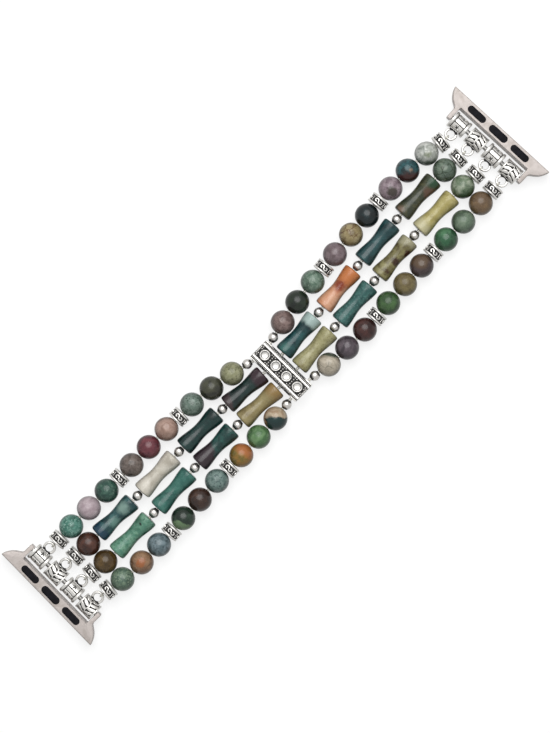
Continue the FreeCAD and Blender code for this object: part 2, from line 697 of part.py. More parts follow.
INNER_SPREAD, OUTER_SPREAD = strand_spreads()
SHOULDER = HINGES[0] + size("hinge_play") + size("round_diameter") + size("bead_play") * 1.5
SHOULDER_SPREAD = (
    OUTER_SPREAD[0]
    + (OUTER_SPREAD[1] - OUTER_SPREAD[0]) * (SHOULDER - HINGES[0]) / (HINGES[1] - HINGES[0])
    + size("shoulder_spread")
)


class Half:
    """One half of the band, with its strands as straight runs between the hinge lines."""

    def __init__(self, name, heading, bow):
        self.name = name
        self.placement = Placement(Vector(0, 0, 0), Rotation(Vector(0, 0, 1), heading))
        self.bow = bow
        self.bow_side = 1 if name == "noon" else -1

    def bow_at(self, along):
        """Sideways offset of the middle line at a distance from the bar, in the half's own frame."""
        places = HINGES + [BAIL_HINGE, PIN_LINE]
        bows = list(self.bow) + [0.0]
        for left, right, low, high in zip(places, places[1:], bows, bows[1:]):
            if along <= right:
                share = max(0.0, (along - left) / (right - left))
                return self.bow_side * (low + (high - low) * share)
        return 0.0

    def strand_line(self, row, side, outer):
        """Corners of a strand's run through a row: (along, across)."""
        spread = OUTER_SPREAD if outer else INNER_SPREAD
        ends = HINGES + [RING_END]
        line = [(ends[row], spread[row])]
        if outer and row == 0:
            line.append((SHOULDER, SHOULDER_SPREAD))
        line.append((ends[row + 1], spread[row + 1]))
        return [(along, side * across + self.bow_at(along)) for along, across in line]

    def world(self, along, across, height, direction=None):
        """Placement at a point of this half, with Z along the strand and X up."""
        forward = direction or Vector(1, 0, 0)
        up = Vector(0, 0, 1)
        turn = Rotation(up, forward.cross(up) * -1, forward, "ZXY")
        return self.placement.multiply(Placement(Vector(along, across, height), turn))


def place_on(line, along):
    """The point and direction of a run at a distance from the bar."""
    for start, end in zip(line, line[1:]):
        if along <= end[0] or end is line[-1]:
            share = (along - start[0]) / (end[0] - start[0])
            across = start[1] + share * (end[1] - start[1])
            return across, Vector(end[0] - start[0], end[1] - start[1], 0).normalize()
    return line[-1][1], Vector(1, 0, 0)


# Sub-parts: each is a compound of links to its patterns, and its label names its file

sub_parts = []


def add_sub_part(label, pattern, placements):
    """A sub-part made of as many copies of a pattern as there are placements."""
    copies = []
    for number, placement in enumerate(placements, start=1):
        copy = document.addObject("App::Link", f"{label}_copy_{number}")
        copy.LinkedObject = pattern
        copy.LinkTransform = True
        copy.Placement = placement
        copies.append(copy)
    group = document.addObject("Part::Compound", label)
    group.Label = label
    group.Links = copies
    sub_parts.append(group)
    return group


def add_cords(label, lines, place):
    """One cord per run: a ruled loft through hexagons at the run's corners."""
    cords = []
    for number, line in enumerate(lines, start=1):
        sections = []
        for corner, (along, across) in enumerate(line, start=1):
            section = document.addObject("Part::RegularPolygon", f"{label}_{number}_section_{corner}")
            section.Polygon = 6
            section.setExpression("Circumradius", "sizes.cord_diameter / 2")
            section.Placement = place(along, across)
            sections.append(section)
        cord = document.addObject("Part::Loft", f"{label}_{number}")
        cord.Sections = sections
        cord.Solid = True
        cord.Ruled = True
        cords.append(cord)
    group = document.addObject("Part::Compound", label)
    group.Label = label
    group.Links = cords
    sub_parts.append(group)
    return group


def shortened(line, gap_start, gap_end):
    """A run that stops short of its two ends."""
    (start, start_across), (end, end_across) = line[0], line[-1]
    across_in, _ = place_on(line, start + gap_start)
    across_out, _ = place_on(line, end - gap_end)
    return [(start + gap_start, across_in)] + line[1:-1] + [(end - gap_end, across_out)]


STRANDS = [("outer", 1), ("inner", 1), ("inner", -1), ("outer", -1)]


def add_row(half, row, patterns):
    """The nodes of one row: its beads, tubes, rings, rounds and cords."""
    name, outer_items, inner_items = ROWS[row]
    ends = HINGES + [RING_END + size("hinge_play")]
    length = ends[row + 1] - ends[row]
    groups, lines = {}, []
    for strand, side in STRANDS:
        outer = strand == "outer"
        line = half.strand_line(row, side, outer)
        items = outer_items if outer else inner_items
        for position, (item, along) in enumerate(zip(items, item_centres(items, ends[row], length))):
            across, direction = place_on(line, along)
            sliding = item == "round" and not outer
            kind = "sliding_round" if sliding else item
            spot = half.world(along, across, cord_height, direction)
            groups.setdefault(kind, []).append(spot)
        gap = size("cord_end_gap")
        lines.append(shortened(line, gap, gap if row < len(ROWS) - 1 else 0.0))
    titles = {
        "bead": "beads", "tube": "bamboo_tubes", "ring": "spacer_rings",
        "round": "silver_rounds", "sliding_round": "stretch_rounds",
    }
    for kind, spots in groups.items():
        pattern = patterns["round" if kind == "sliding_round" else kind]
        add_sub_part(f"{half.name}_{name}_{titles[kind]}", pattern, spots)
    add_cords(
        f"{half.name}_{name}_cords", lines, lambda along, across: half.world(along, across, cord_height)
    )


def add_end_fittings(half, patterns):
    """Bails, pin, connector, pads, latch button and spring of one half."""
    order = STRANDS if half.name == "noon" else list(reversed(STRANDS))
    for kind, indices in (("flower", (0, 2)), ("leaf", (1, 3))):
        spots = []
        for index in indices:
            strand, side = order[index]
            across = side * bail_pitch * (1.5 if strand == "outer" else 0.5)
            lie = Placement(Vector(PIN_LINE, across, pin_height), Rotation())
            tilt = Placement(Vector(), Rotation(Vector(0, 1, 0), math.degrees(BAIL_TILT)))
            along_pin = Placement(Vector(), Rotation(Vector(1, 0, 0), 90))
            spots.append(half.placement.multiply(lie).multiply(tilt).multiply(along_pin))
        add_sub_part(f"{half.name}_{kind}_bails", patterns[f"{kind}_bail"], spots)
    seat = half.placement.multiply(Placement(Vector(PIN_LINE, 0, 0), Rotation()))
    add_sub_part(f"{half.name}_connector_frame", patterns["frame"], [seat])
    add_sub_part(f"{half.name}_connector_pin", patterns["pin"], [seat])
    pads = [seat.multiply(Placement(Vector(0, side * size("pad_pitch"), 0), Rotation())) for side in (-1, 1)]
    add_sub_part(f"{half.name}_grip_pads", patterns["pad"], pads)
    add_sub_part(f"{half.name}_latch_button", patterns["button"], [seat])
    add_sub_part(f"{half.name}_latch_spring", patterns["spring"], [seat])


def make_patterns():
    """Every piece that is copied, by name."""
    top = "sizes.connector_thickness + sizes.pad_proud"
    return {
        "bead": make_round_bead(),
        "tube": make_bamboo_tube(),
        "round": make_silver_round(),
        "ring": make_spacer_ring(),
        "flower_bail": make_bail("flower_bail", "sizes.bail_drum_diameter"),
        "leaf_bail": make_bail("leaf_bail", "sizes.bail_leaf_diameter"),
        "frame": make_connector_frame(),
        "pin": make_connector_pin(),
        "pad": make_pill("grip_pad", "sizes.pad_sink + sizes.pad_proud", top),
        "button": make_pill("latch_button", "sizes.latch_height + sizes.pad_proud", top),
        "spring": make_latch_spring(),
    }


def build():
    """Makes every sub-part of the band."""
    patterns = make_patterns()
    add_sub_part("centre_bar", make_centre_bar(), [Placement()])
    reach = HINGES[0] - size("cord_end_gap")
    holes = (-bar_outer_hole, -bar_inner_hole, bar_inner_hole, bar_outer_hole)
    through_bar = [[(-reach, hole), (reach, hole)] for hole in holes]
    level = Half("level", 0.0, NOON_BOW)
    add_cords(
        "centre_bar_cords", through_bar, lambda along, across: level.world(along, across, cord_height)
    )
    for half in HALVES:
        for row in range(len(ROWS)):
            add_row(half, row, patterns)
        add_end_fittings(half, patterns)
    document.recompute()


def check_document():
    """Stops when an object failed, or a sub-part is empty or invalid."""
    for item in document.Objects:
        bad = [state for state in item.State if state in ("Invalid", "Error")]
        if bad:
            raise RuntimeError(f"{item.Label} is {bad}")
    for part in sub_parts:
        if part.Shape.isNull() or not part.Shape.isValid():
            raise RuntimeError(f"{part.Label} has no valid shape")


def write_files():
    """One STEP file for each sub-part."""
    os.makedirs("parts", exist_ok=True)
    for part in sub_parts:
        part.Shape.exportStep(f"parts/{part.Label}.step")
        volume = part.Shape.Volume
        print(f"{part.Label}: {len(part.Shape.Solids)} solids, {volume:.2f} cubic mm")


HALVES = [
    Half("noon", size("noon_heading"), NOON_BOW),
    Half("six", 180 + size("six_heading"), SIX_BOW),
]

build()
check_document()
write_files()
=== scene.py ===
"""Bead watch band: the looks of its stones, silver, elastic cord and connectors.

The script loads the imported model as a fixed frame. It builds one detailed piece for each stone,
round, ring, bail and fitting where the frame has it, and gives each a procedural finish.
The band lies on the floor with its wrist side up: +X along it, +Y across it, +Z up.
"""

import json
import logging
import math
from dataclasses import dataclass, field
from enum import Enum
from typing import Any, Callable, Iterable, Sequence

import bmesh
import bpy
import numpy as np
from mathutils import Matrix, Vector

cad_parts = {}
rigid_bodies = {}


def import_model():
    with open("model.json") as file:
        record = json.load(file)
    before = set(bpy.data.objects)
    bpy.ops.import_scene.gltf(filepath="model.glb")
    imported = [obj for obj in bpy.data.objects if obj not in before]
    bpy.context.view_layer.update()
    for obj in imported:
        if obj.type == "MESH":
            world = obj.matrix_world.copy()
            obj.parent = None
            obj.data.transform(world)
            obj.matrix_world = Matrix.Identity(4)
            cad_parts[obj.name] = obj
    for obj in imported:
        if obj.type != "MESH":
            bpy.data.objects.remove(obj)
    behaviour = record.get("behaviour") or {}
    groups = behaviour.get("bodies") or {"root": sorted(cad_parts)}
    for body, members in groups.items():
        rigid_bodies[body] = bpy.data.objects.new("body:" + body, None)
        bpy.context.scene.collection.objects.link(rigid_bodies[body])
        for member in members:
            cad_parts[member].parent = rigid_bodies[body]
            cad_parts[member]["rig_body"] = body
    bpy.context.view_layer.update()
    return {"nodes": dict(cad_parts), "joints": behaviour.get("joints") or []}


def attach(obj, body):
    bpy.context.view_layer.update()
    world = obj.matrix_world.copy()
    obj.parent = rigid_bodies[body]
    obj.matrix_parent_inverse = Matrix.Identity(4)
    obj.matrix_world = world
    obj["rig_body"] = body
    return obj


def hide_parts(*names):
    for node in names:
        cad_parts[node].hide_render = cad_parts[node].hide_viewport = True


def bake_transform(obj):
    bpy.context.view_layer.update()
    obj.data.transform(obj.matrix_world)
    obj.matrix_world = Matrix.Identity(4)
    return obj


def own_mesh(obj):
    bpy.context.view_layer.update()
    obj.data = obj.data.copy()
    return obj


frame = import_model()

MM = 0.001
WELD = 2e-6
UP = Vector((0, 0, 1))
HALVES = ("noon", "six")
log = logging.getLogger("band")

Socket = bpy.types.NodeSocket
Point = tuple[float, float, float]


def linear(colour: str) -> tuple[float, float, float, float]:
    """Turns a written colour into the values that a shader takes.

    Args:
        colour: Six hexadecimal digits, as a maker notes a tint down.

    Returns:
        Linear red, green, blue and an alpha of 1.
    """
    parts = [int(colour[place:place + 2], 16) / 255 for place in (0, 2, 4)]
    red, green, blue = (
        part / 12.92 if part <= 0.04045 else ((part + 0.055) / 1.055) ** 2.4 for part in parts
    )
    return red, green, blue, 1.0


# Shader wiring and the effects that several finishes share


class Wiring:
    """Adds nodes to one tree and joins them."""

    def __init__(self, tree: bpy.types.NodeTree) -> None:
        """Takes over a tree."""
        self.tree = tree

    def feed(self, made: bpy.types.Node, inputs: dict[Any, Any]) -> bpy.types.Node:
        """Sets a node's sockets.

        Args:
            made: The node.
            inputs: Sockets by name or number, each with a value or with the socket that feeds it.

        Returns:
            The node.
        """
        for name, value in inputs.items():
            if isinstance(value, Socket):
                self.tree.links.new(value, made.inputs[name])
            else:
                made.inputs[name].default_value = value
        return made

    def node(self, kind: str, inputs: dict[Any, Any] | None = None, **settings: Any) -> bpy.types.Node:
        """Adds a node.

        Args:
            kind: The node's type without its ShaderNode prefix.
            inputs: What feed takes.
            settings: The node's own options.

        Returns:
            The new node.
        """
        made = self.tree.nodes.new(f"ShaderNode{kind}")
        for name, setting in settings.items():
            setattr(made, name, setting)
        return self.feed(made, inputs or {})

    def calculate(self, operation: str, *values: Any, clamp: bool = False) -> Socket:
        """A number from other numbers."""
        made = self.node("Math", dict(enumerate(values)), operation=operation, use_clamp=clamp)
        return made.outputs[0]

    def vector(self, operation: str, *values: Any) -> bpy.types.Node:
        """A vector sum, product or measure."""
        return self.node("VectorMath", dict(enumerate(values)), operation=operation)

    def step(self, value: Any, low: Any, high: Any) -> Socket:
        """A soft step from 0 at the low value to 1 at the high one."""
        inputs = {"Value": value, "From Min": low, "From Max": high}
        return self.node("MapRange", inputs, interpolation_type="SMOOTHSTEP").outputs[0]

    def mix(self, share: Any, first: Any, second: Any) -> Socket:
        """The second colour over the first, by a share."""
        made = self.node("Mix", {0: share, 6: first, 7: second}, data_type="RGBA")
        return made.outputs[2]

    def noise(self, place: Any, scale: Any, detail: float = 4.0, distortion: float = 0.0) -> Socket:
        """Cloudy noise from 0 to 1, with its scale in features for each millimetre."""
        inputs = {"Vector": place, "Scale": scale, "Detail": detail, "Distortion": distortion}
        return self.node("TexNoise", inputs).outputs[0]


Sockets = dict[str, Socket]
Wires = Callable[[Wiring, Sockets], Sockets]


@dataclass
class Effect:
    """A shader node group that more than one finish uses, built at its first use."""

    name: str
    takes: dict[str, Any]
    wires: Wires
    group: bpy.types.NodeTree | None = None

    def add_socket(self, name: str, way: str, kind: str) -> Any:
        """Adds an input or an output to the group."""
        return self.group.interface.new_socket(name=name, in_out=way, socket_type=f"NodeSocket{kind}")

    def tree(self) -> bpy.types.NodeTree:
        """The node group itself.

        Returns:
            The group, built if this is its first use.
        """
        if self.group is None:
            self.group = bpy.data.node_groups.new(self.name, "ShaderNodeTree")
            for name, default in self.takes.items():
                kind = "Float" if isinstance(default, float) else "Color" if len(default) == 4 else "Vector"
                self.add_socket(name, "INPUT", kind).default_value = default
            entry = self.group.nodes.new("NodeGroupInput")
            found = self.wires(Wiring(self.group), {name: entry.outputs[name] for name in self.takes})
            for name in found:
                self.add_socket(name, "OUTPUT", "Color" if name == "Color" else "Float")
            leave = self.group.nodes.new("NodeGroupOutput")
            for name, socket in found.items():
                self.group.links.new(socket, leave.inputs[name])
        return self.group

    def place(self, wiring: Wiring, **inputs: Any) -> bpy.types.Node:
        """Puts the effect into a material, with values or sockets for the group's inputs by name."""
        return wiring.node("Group", inputs, node_tree=self.tree())


def effect(**takes: Any) -> Callable[[Wires], Effect]:
    """Makes a shader node group with these inputs of the wiring under it."""
    return lambda wires: Effect(wires.__name__, takes, wires)


GREY = (0.5, 0.5, 0.5, 1.0)
WHITE = (1.0, 1.0, 1.0, 1.0)
HERE = (0.0, 0.0, 0.0)
PIT_DEPTH = 5e-5


@effect(
    Place=HERE, Base=GREY, Cloud=GREY, Deep=GREY, Grain=2.0, Cloudy=0.8, Deepening=0.8, Grainy=0.5
)
def stone_clouds(w: Wiring, i: Sockets) -> Sockets:
    """Agate's clouds: three tints that drift into each other, with a fine grain in them.

    Args:
        w: The group's wiring.
        i: Its inputs.

    Returns:
        Its outputs.
    """
    scale = w.calculate("DIVIDE", 1.0, i["Grain"])
    drift = w.step(w.noise(i["Place"], scale, 5.0, 0.7), 0.36, 0.66)
    aside = w.vector("ADD", i["Place"], (17.0, 3.0, 9.0)).outputs[0]
    depth = w.step(w.noise(aside, w.calculate("MULTIPLY", scale, 0.55), 3.0, 0.9), 0.48, 0.7)
    grain = w.noise(i["Place"], w.calculate("MULTIPLY", scale, 7.0), 3.0)
    tint = w.mix(w.calculate("MULTIPLY", drift, i["Cloudy"]), i["Base"], i["Cloud"])
    tint = w.mix(w.calculate("MULTIPLY", depth, i["Deepening"]), tint, i["Deep"])
    lift = w.calculate("MULTIPLY", w.step(grain, 0.5, 0.75), 0.3)
    fall = w.calculate("MULTIPLY", w.step(grain, 0.48, 0.25), 0.35)
    tint = w.mix(w.calculate("MULTIPLY", lift, i["Grainy"]), tint, i["Cloud"])
    return {"Color": w.mix(w.calculate("MULTIPLY", fall, i["Grainy"]), tint, i["Deep"])}


@effect(Color=GREY, Accent=GREY, Place=HERE, Drift=HERE, Toward=HERE, At=0.0, Blur=0.3, Waver=2.0)
def stone_zone(w: Wiring, i: Sockets) -> Sockets:
    """A second tint beyond a wavering border across the stone.

    Args:
        w: The group's wiring.
        i: Its inputs.

    Returns:
        Its outputs.
    """
    along = w.vector("DOT_PRODUCT", i["Place"], i["Toward"]).outputs["Value"]
    waver = w.calculate("SUBTRACT", w.noise(i["Drift"], 0.45, 3.0, 0.4), 0.5)
    border = w.calculate("MULTIPLY_ADD", waver, i["Waver"], along)
    low = w.calculate("SUBTRACT", i["At"], i["Blur"])
    high = w.calculate("ADD", i["At"], i["Blur"])
    return {"Color": w.mix(w.step(border, low, high), i["Color"], i["Accent"])}


@effect(Color=GREY, Accent=GREY, Place=HERE, Drift=HERE, Middle=HERE, Reach=1.0, Blur=0.3, Waver=1.5)
def stone_patch(w: Wiring, i: Sockets) -> Sockets:
    """An island of another tint round a point in the stone.

    Args:
        w: The group's wiring.
        i: Its inputs.

    Returns:
        Its outputs.
    """
    away = w.vector("DISTANCE", i["Place"], i["Middle"]).outputs["Value"]
    waver = w.calculate("SUBTRACT", w.noise(i["Drift"], 0.8, 4.0, 0.8), 0.5)
    edge = w.calculate("MULTIPLY_ADD", waver, i["Waver"], away)
    outer = w.calculate("ADD", i["Reach"], i["Blur"])
    inner = w.calculate("SUBTRACT", i["Reach"], i["Blur"])
    return {"Color": w.mix(w.step(edge, outer, inner), i["Color"], i["Accent"])}


@effect(Color=GREY, Accent=GREY, Place=HERE, Spacing=2.0, Width=0.1, Amount=0.8)
def stone_veins(w: Wiring, i: Sockets) -> Sockets:
    """Thin veins or healed cracks that break off here and there.

    Args:
        w: The group's wiring.
        i: Its inputs.

    Returns:
        Its outputs.
    """
    bend = w.node("TexNoise", {"Vector": i["Place"], "Scale": 0.6, "Detail": 3.0})
    shift = w.vector("MULTIPLY", bend.outputs[1], (1.6, 1.6, 1.6)).outputs[0]
    bent = w.vector("ADD", i["Place"], shift).outputs[0]
    cell = w.node(
        "TexVoronoi",
        {"Vector": bent, "Scale": w.calculate("DIVIDE", 1.0, i["Spacing"])},
        feature="DISTANCE_TO_EDGE",
    )
    width = w.calculate("DIVIDE", i["Width"], i["Spacing"])
    line = w.step(cell.outputs["Distance"], width, 0.0)
    broken = w.step(w.noise(i["Place"], 0.35, 3.0), 0.4, 0.56)
    mask = w.calculate("MULTIPLY", w.calculate("MULTIPLY", line, broken), i["Amount"])
    return {"Color": w.mix(mask, i["Color"], i["Accent"]), "Mask": mask}


@effect(Color=GREY, Accent=GREY, Place=HERE, Spacing=0.5, Size=0.3, Amount=0.8)
def stone_specks(w: Wiring, i: Sockets) -> Sockets:
    """Mossy specks of uneven size, thinned out at random.

    Args:
        w: The group's wiring.
        i: Its inputs.

    Returns:
        Its outputs.
    """
    cell = w.node(
        "TexVoronoi", {"Vector": i["Place"], "Scale": w.calculate("DIVIDE", 1.0, i["Spacing"])}
    )
    lot = w.node("SeparateColor", {0: cell.outputs["Color"]}).outputs[0]
    reach = w.calculate("MULTIPLY", i["Size"], lot)
    dot = w.step(w.calculate("MULTIPLY", cell.outputs["Distance"], i["Spacing"]), reach, 0.0)
    mask = w.calculate("MULTIPLY", w.step(dot, 0.05, 0.5), i["Amount"])
    return {"Color": w.mix(mask, i["Color"], i["Accent"]), "Mask": mask}


@effect(Place=HERE, Dull=0.3, Gloss=0.2, Pitch=0.2)
def uneven_polish(w: Wiring, i: Sockets) -> Sockets:
    """Uneven polish: a roughness that drifts, and the height of very fine pits and scratches.

    Args:
        w: The group's wiring.
        i: Its inputs.

    Returns:
        Its outputs.
    """
    drift = w.noise(i["Place"], 0.9, 3.0)
    spread = w.calculate("SUBTRACT", i["Dull"], i["Gloss"])
    rough = w.calculate("MULTIPLY_ADD", w.step(drift, 0.3, 0.7), spread, i["Gloss"])
    pits = w.noise(i["Place"], w.calculate("DIVIDE", 1.0, i["Pitch"]), 6.0)
    return {"Roughness": rough, "Height": pits}


@effect(Place=HERE, Worn=1.0, Bright=GREY, Black=GREY, Metal=0.3)
def silver_patina(w: Wiring, i: Sockets) -> Sockets:
    """Antique silver: blackened where it is sunk or where shade is painted, rubbed bright where it stands
    out.

    Args:
        w: The group's wiring.
        i: Its inputs.

    Returns:
        Its outputs.
    """
    waver = w.calculate("SUBTRACT", w.noise(i["Place"], 1.8, 4.0), 0.5)
    shown = w.step(w.calculate("MULTIPLY_ADD", waver, 0.3, i["Worn"]), 0.3, 0.62)
    smudge = w.step(w.noise(i["Place"], 0.7, 3.0), 0.45, 0.8)
    bright = w.mix(w.calculate("MULTIPLY", smudge, 0.08), i["Bright"], i["Black"])
    return {
        "Color": w.mix(shown, i["Black"], bright),
        "Roughness": w.calculate("MULTIPLY_ADD", shown, -0.35, 0.6),
        "Metallic": w.calculate("MULTIPLY_ADD", shown, i["Metal"], 0.3),
    }


def new_material(name: str) -> tuple[bpy.types.Material, Wiring, bpy.types.Node, Socket]:
    """An empty material with its shader.

    Args:
        name: The finish's name.

    Returns:
        The material, its wiring, its Principled shader and the place on the piece in millimetres.
    """
    material = bpy.data.materials.new(name)
    material.use_nodes = True
    material.node_tree.nodes.clear()
    wiring = Wiring(material.node_tree)
    shader = wiring.node("BsdfPrincipled")
    wiring.node("OutputMaterial", {0: shader.outputs[0]})
    spot = wiring.node("TexCoord").outputs["Object"]
    place = wiring.vector("MULTIPLY", spot, (1 / MM,) * 3).outputs[0]
    return material, wiring, shader, place


def polish_shader(
    w: Wiring, shader: bpy.types.Node, place: Socket, polish: tuple[float, float, float, float],
    inputs: dict[str, Any],
) -> None:
    """Feeds a shader, and gives it an uneven polish with fine pits.

    Args:
        w: The material's wiring.
        shader: The shader.
        place: The place that the polish drifts by.
        polish: Its lowest and highest roughness, the pits' spacing in millimetres and their strength.
        inputs: The shader's other inputs; a roughness among them comes on top of the polish.
    """
    gloss, dull, pitch, relief = polish
    found = uneven_polish.place(w, Place=place, Gloss=gloss, Dull=dull, Pitch=pitch).outputs
    rough = found["Roughness"]
    if "Roughness" in inputs:
        rough = w.calculate("ADD", inputs["Roughness"], rough)
    bump = w.node("Bump", {"Height": found["Height"], "Strength": relief, "Distance": PIT_DEPTH})
    w.feed(shader, {**inputs, "Roughness": rough, "Normal": bump.outputs[0]})


# Finishes


class MarkKind(Enum):
    """What sets one stone apart from its neighbours."""

    ZONE = "zone"
    PATCH = "patch"
    VEINS = "veins"
    SPECKS = "specks"


@dataclass(frozen=True)
class Mark:
    """One mark on a stone.

    The place is a direction for a zone and a point in millimetres for a patch, as
    (outwards along the strand, across the band, up). The size is a zone's border along that
    direction, a patch's radius, or the spacing of veins and specks.
    """

    kind: MarkKind
    tint: str
    place: Point = (0.0, 0.0, 1.0)
    size: float = 1.0
    blur: float = 0.4
    amount: float = 0.85

    def drawn(self, place: Socket, drift: Socket, turn: Matrix) -> tuple[Effect, dict[str, Any]]:
        """How the mark is drawn.

        Args:
            place: The place on the stone in millimetres.
            drift: The same, moved by the stone's seed.
            turn: Turns directions in the band into the stone's own axes.

        Returns:
            The effect, and its inputs apart from the two colours.
        """
        spot = turn @ Vector(self.place)
        bounded = {"Place": place, "Drift": drift, "Blur": self.blur}
        spread = {"Place": drift, "Spacing": self.size, "Amount": self.amount}
        return {
            MarkKind.ZONE: (stone_zone, {**bounded, "Toward": tuple(spot.normalized()), "At": self.size}),
            MarkKind.PATCH: (stone_patch, {**bounded, "Middle": tuple(spot), "Reach": self.size}),
            MarkKind.VEINS: (stone_veins, {**spread, "Width": self.blur / 4}),
            MarkKind.SPECKS: (stone_specks, {**spread, "Size": self.size * 0.8}),
        }[self.kind]


@dataclass(frozen=True)
class StoneFinish:
    """One polished agate with its own tints and marks."""

    name: str
    base: str
    cloud: str
    deep: str
    grain: float = 1.6
    marks: tuple[Mark, ...] = ()
    grainy: float = 0.8
    # rim: the tint of the painted shade that darkens each stone towards its edges as the camera sees them
    rim: str = "0e0d0b"

    def material(self, seed: int, turn: Matrix) -> bpy.types.Material:
        """Builds the stone's material.

        Args:
            seed: Moves the clouds, so that no two stones look cut from one place.
            turn: Turns directions in the band into the stone's own axes.

        Returns:
            The material.
        """
        material, w, shader, place = new_material(f"agate_{self.name}")
        shift = (seed * 7.3, seed * 3.1 % 41, seed * 5.7 % 37)
        drift = w.vector("ADD", place, shift).outputs[0]
        tint = stone_clouds.place(
            w, Place=drift, Base=linear(self.base), Cloud=linear(self.cloud),
            Deep=linear(self.deep), Grain=self.grain, Grainy=self.grainy,
        ).outputs[0]
        for mark in self.marks:
            shape, inputs = mark.drawn(place, drift, turn)
            tint = shape.place(w, Color=tint, Accent=linear(mark.tint), **inputs).outputs[0]
        # painted shade: Layer Weight's facing mixes the rim tint in towards the stone's edges as the camera
        # sees them, darkening its colour there
        painted_edge_shade = w.calculate("POWER", w.node("LayerWeight", {"Blend": 0.5}).outputs["Facing"], 1.6)
        tint = w.mix(w.calculate("MULTIPLY", painted_edge_shade, 0.7), tint, linear(self.rim))
        inputs = {"Base Color": tint, "IOR": 1.54, "Specular IOR Level": 0.3}
        polish_shader(w, shader, drift, (0.2, 0.34, 0.25, 0.06), inputs)
        return material


@dataclass(frozen=True)
class SilverFinish:
    """Cast silver with a blackened ground."""

    name: str
    bright: str
    black: str = "0d0c0b"
    pitch: float = 0.15
    metal: float = 0.3

    def material(self) -> bpy.types.Material:
        """Builds the silver, which reads each point's wear and painted shade from the piece.

        Returns:
            The material.
        """
        material, w, shader, place = new_material(self.name)
        wear_and_shade = w.node("Attribute", attribute_type="GEOMETRY", attribute_name="wear_and_shade").outputs["Fac"]
        patina = silver_patina.place(
            w, Place=place, Worn=wear_and_shade, Bright=linear(self.bright), Black=linear(self.black),
            Metal=self.metal,
        ).outputs
        inputs = {
            "Base Color": patina["Color"], "Metallic": patina["Metallic"], "Roughness": patina["Roughness"]
        }
        polish_shader(w, shader, place, (0.0, 0.12, self.pitch, 0.12), inputs)
        return material


@dataclass(frozen=True)
class PlainFinish:
    """A surface of one tint with clouds so faint that only its handling shows.

    The polish is what polish_shader takes.
    """

    name: str
    base: str
    cloud: str
    deep: str
    polish: tuple[float, float, float, float]
    metal: float = 0.0
    coat: float = 0.0
    clear: float = 0.0
    shine: float = 0.5

    def material(self) -> bpy.types.Material:
        """Builds the finish.

        Returns:
            The material.
        """
        material, w, shader, place = new_material(self.name)
        tint = stone_clouds.place(
            w, Place=place, Base=linear(self.base), Cloud=linear(self.cloud),
            Deep=linear(self.deep), Grain=1.4, Grainy=0.5,
        ).outputs[0]
        polish_shader(w, shader, place, self.polish, {
            "Base Color": tint, "Metallic": self.metal, "Coat Weight": self.coat,
            "Transmission Weight": self.clear, "Specular IOR Level": self.shine,
        })
        return material


def zone(tint: str, place: Point, size: float = 0.0, blur: float = 0.5) -> Mark:
    """A second tint on one side of the stone."""
    return Mark(MarkKind.ZONE, tint, place, size, blur)


def patch(tint: str, place: Point, size: float, blur: float = 0.4) -> Mark:
    """An island of another tint."""
    return Mark(MarkKind.PATCH, tint, place, size, blur)


def veins(tint: str, size: float = 2.2, blur: float = 0.4, amount: float = 0.8) -> Mark:
    """Thin veins, spaced by the size."""
    return Mark(MarkKind.VEINS, tint, size=size, blur=blur, amount=amount)


def specks(tint: str, size: float = 0.5, amount: float = 0.8) -> Mark:
    """Small specks, spaced by the size."""
    return Mark(MarkKind.SPECKS, tint, size=size, amount=amount)


S = StoneFinish

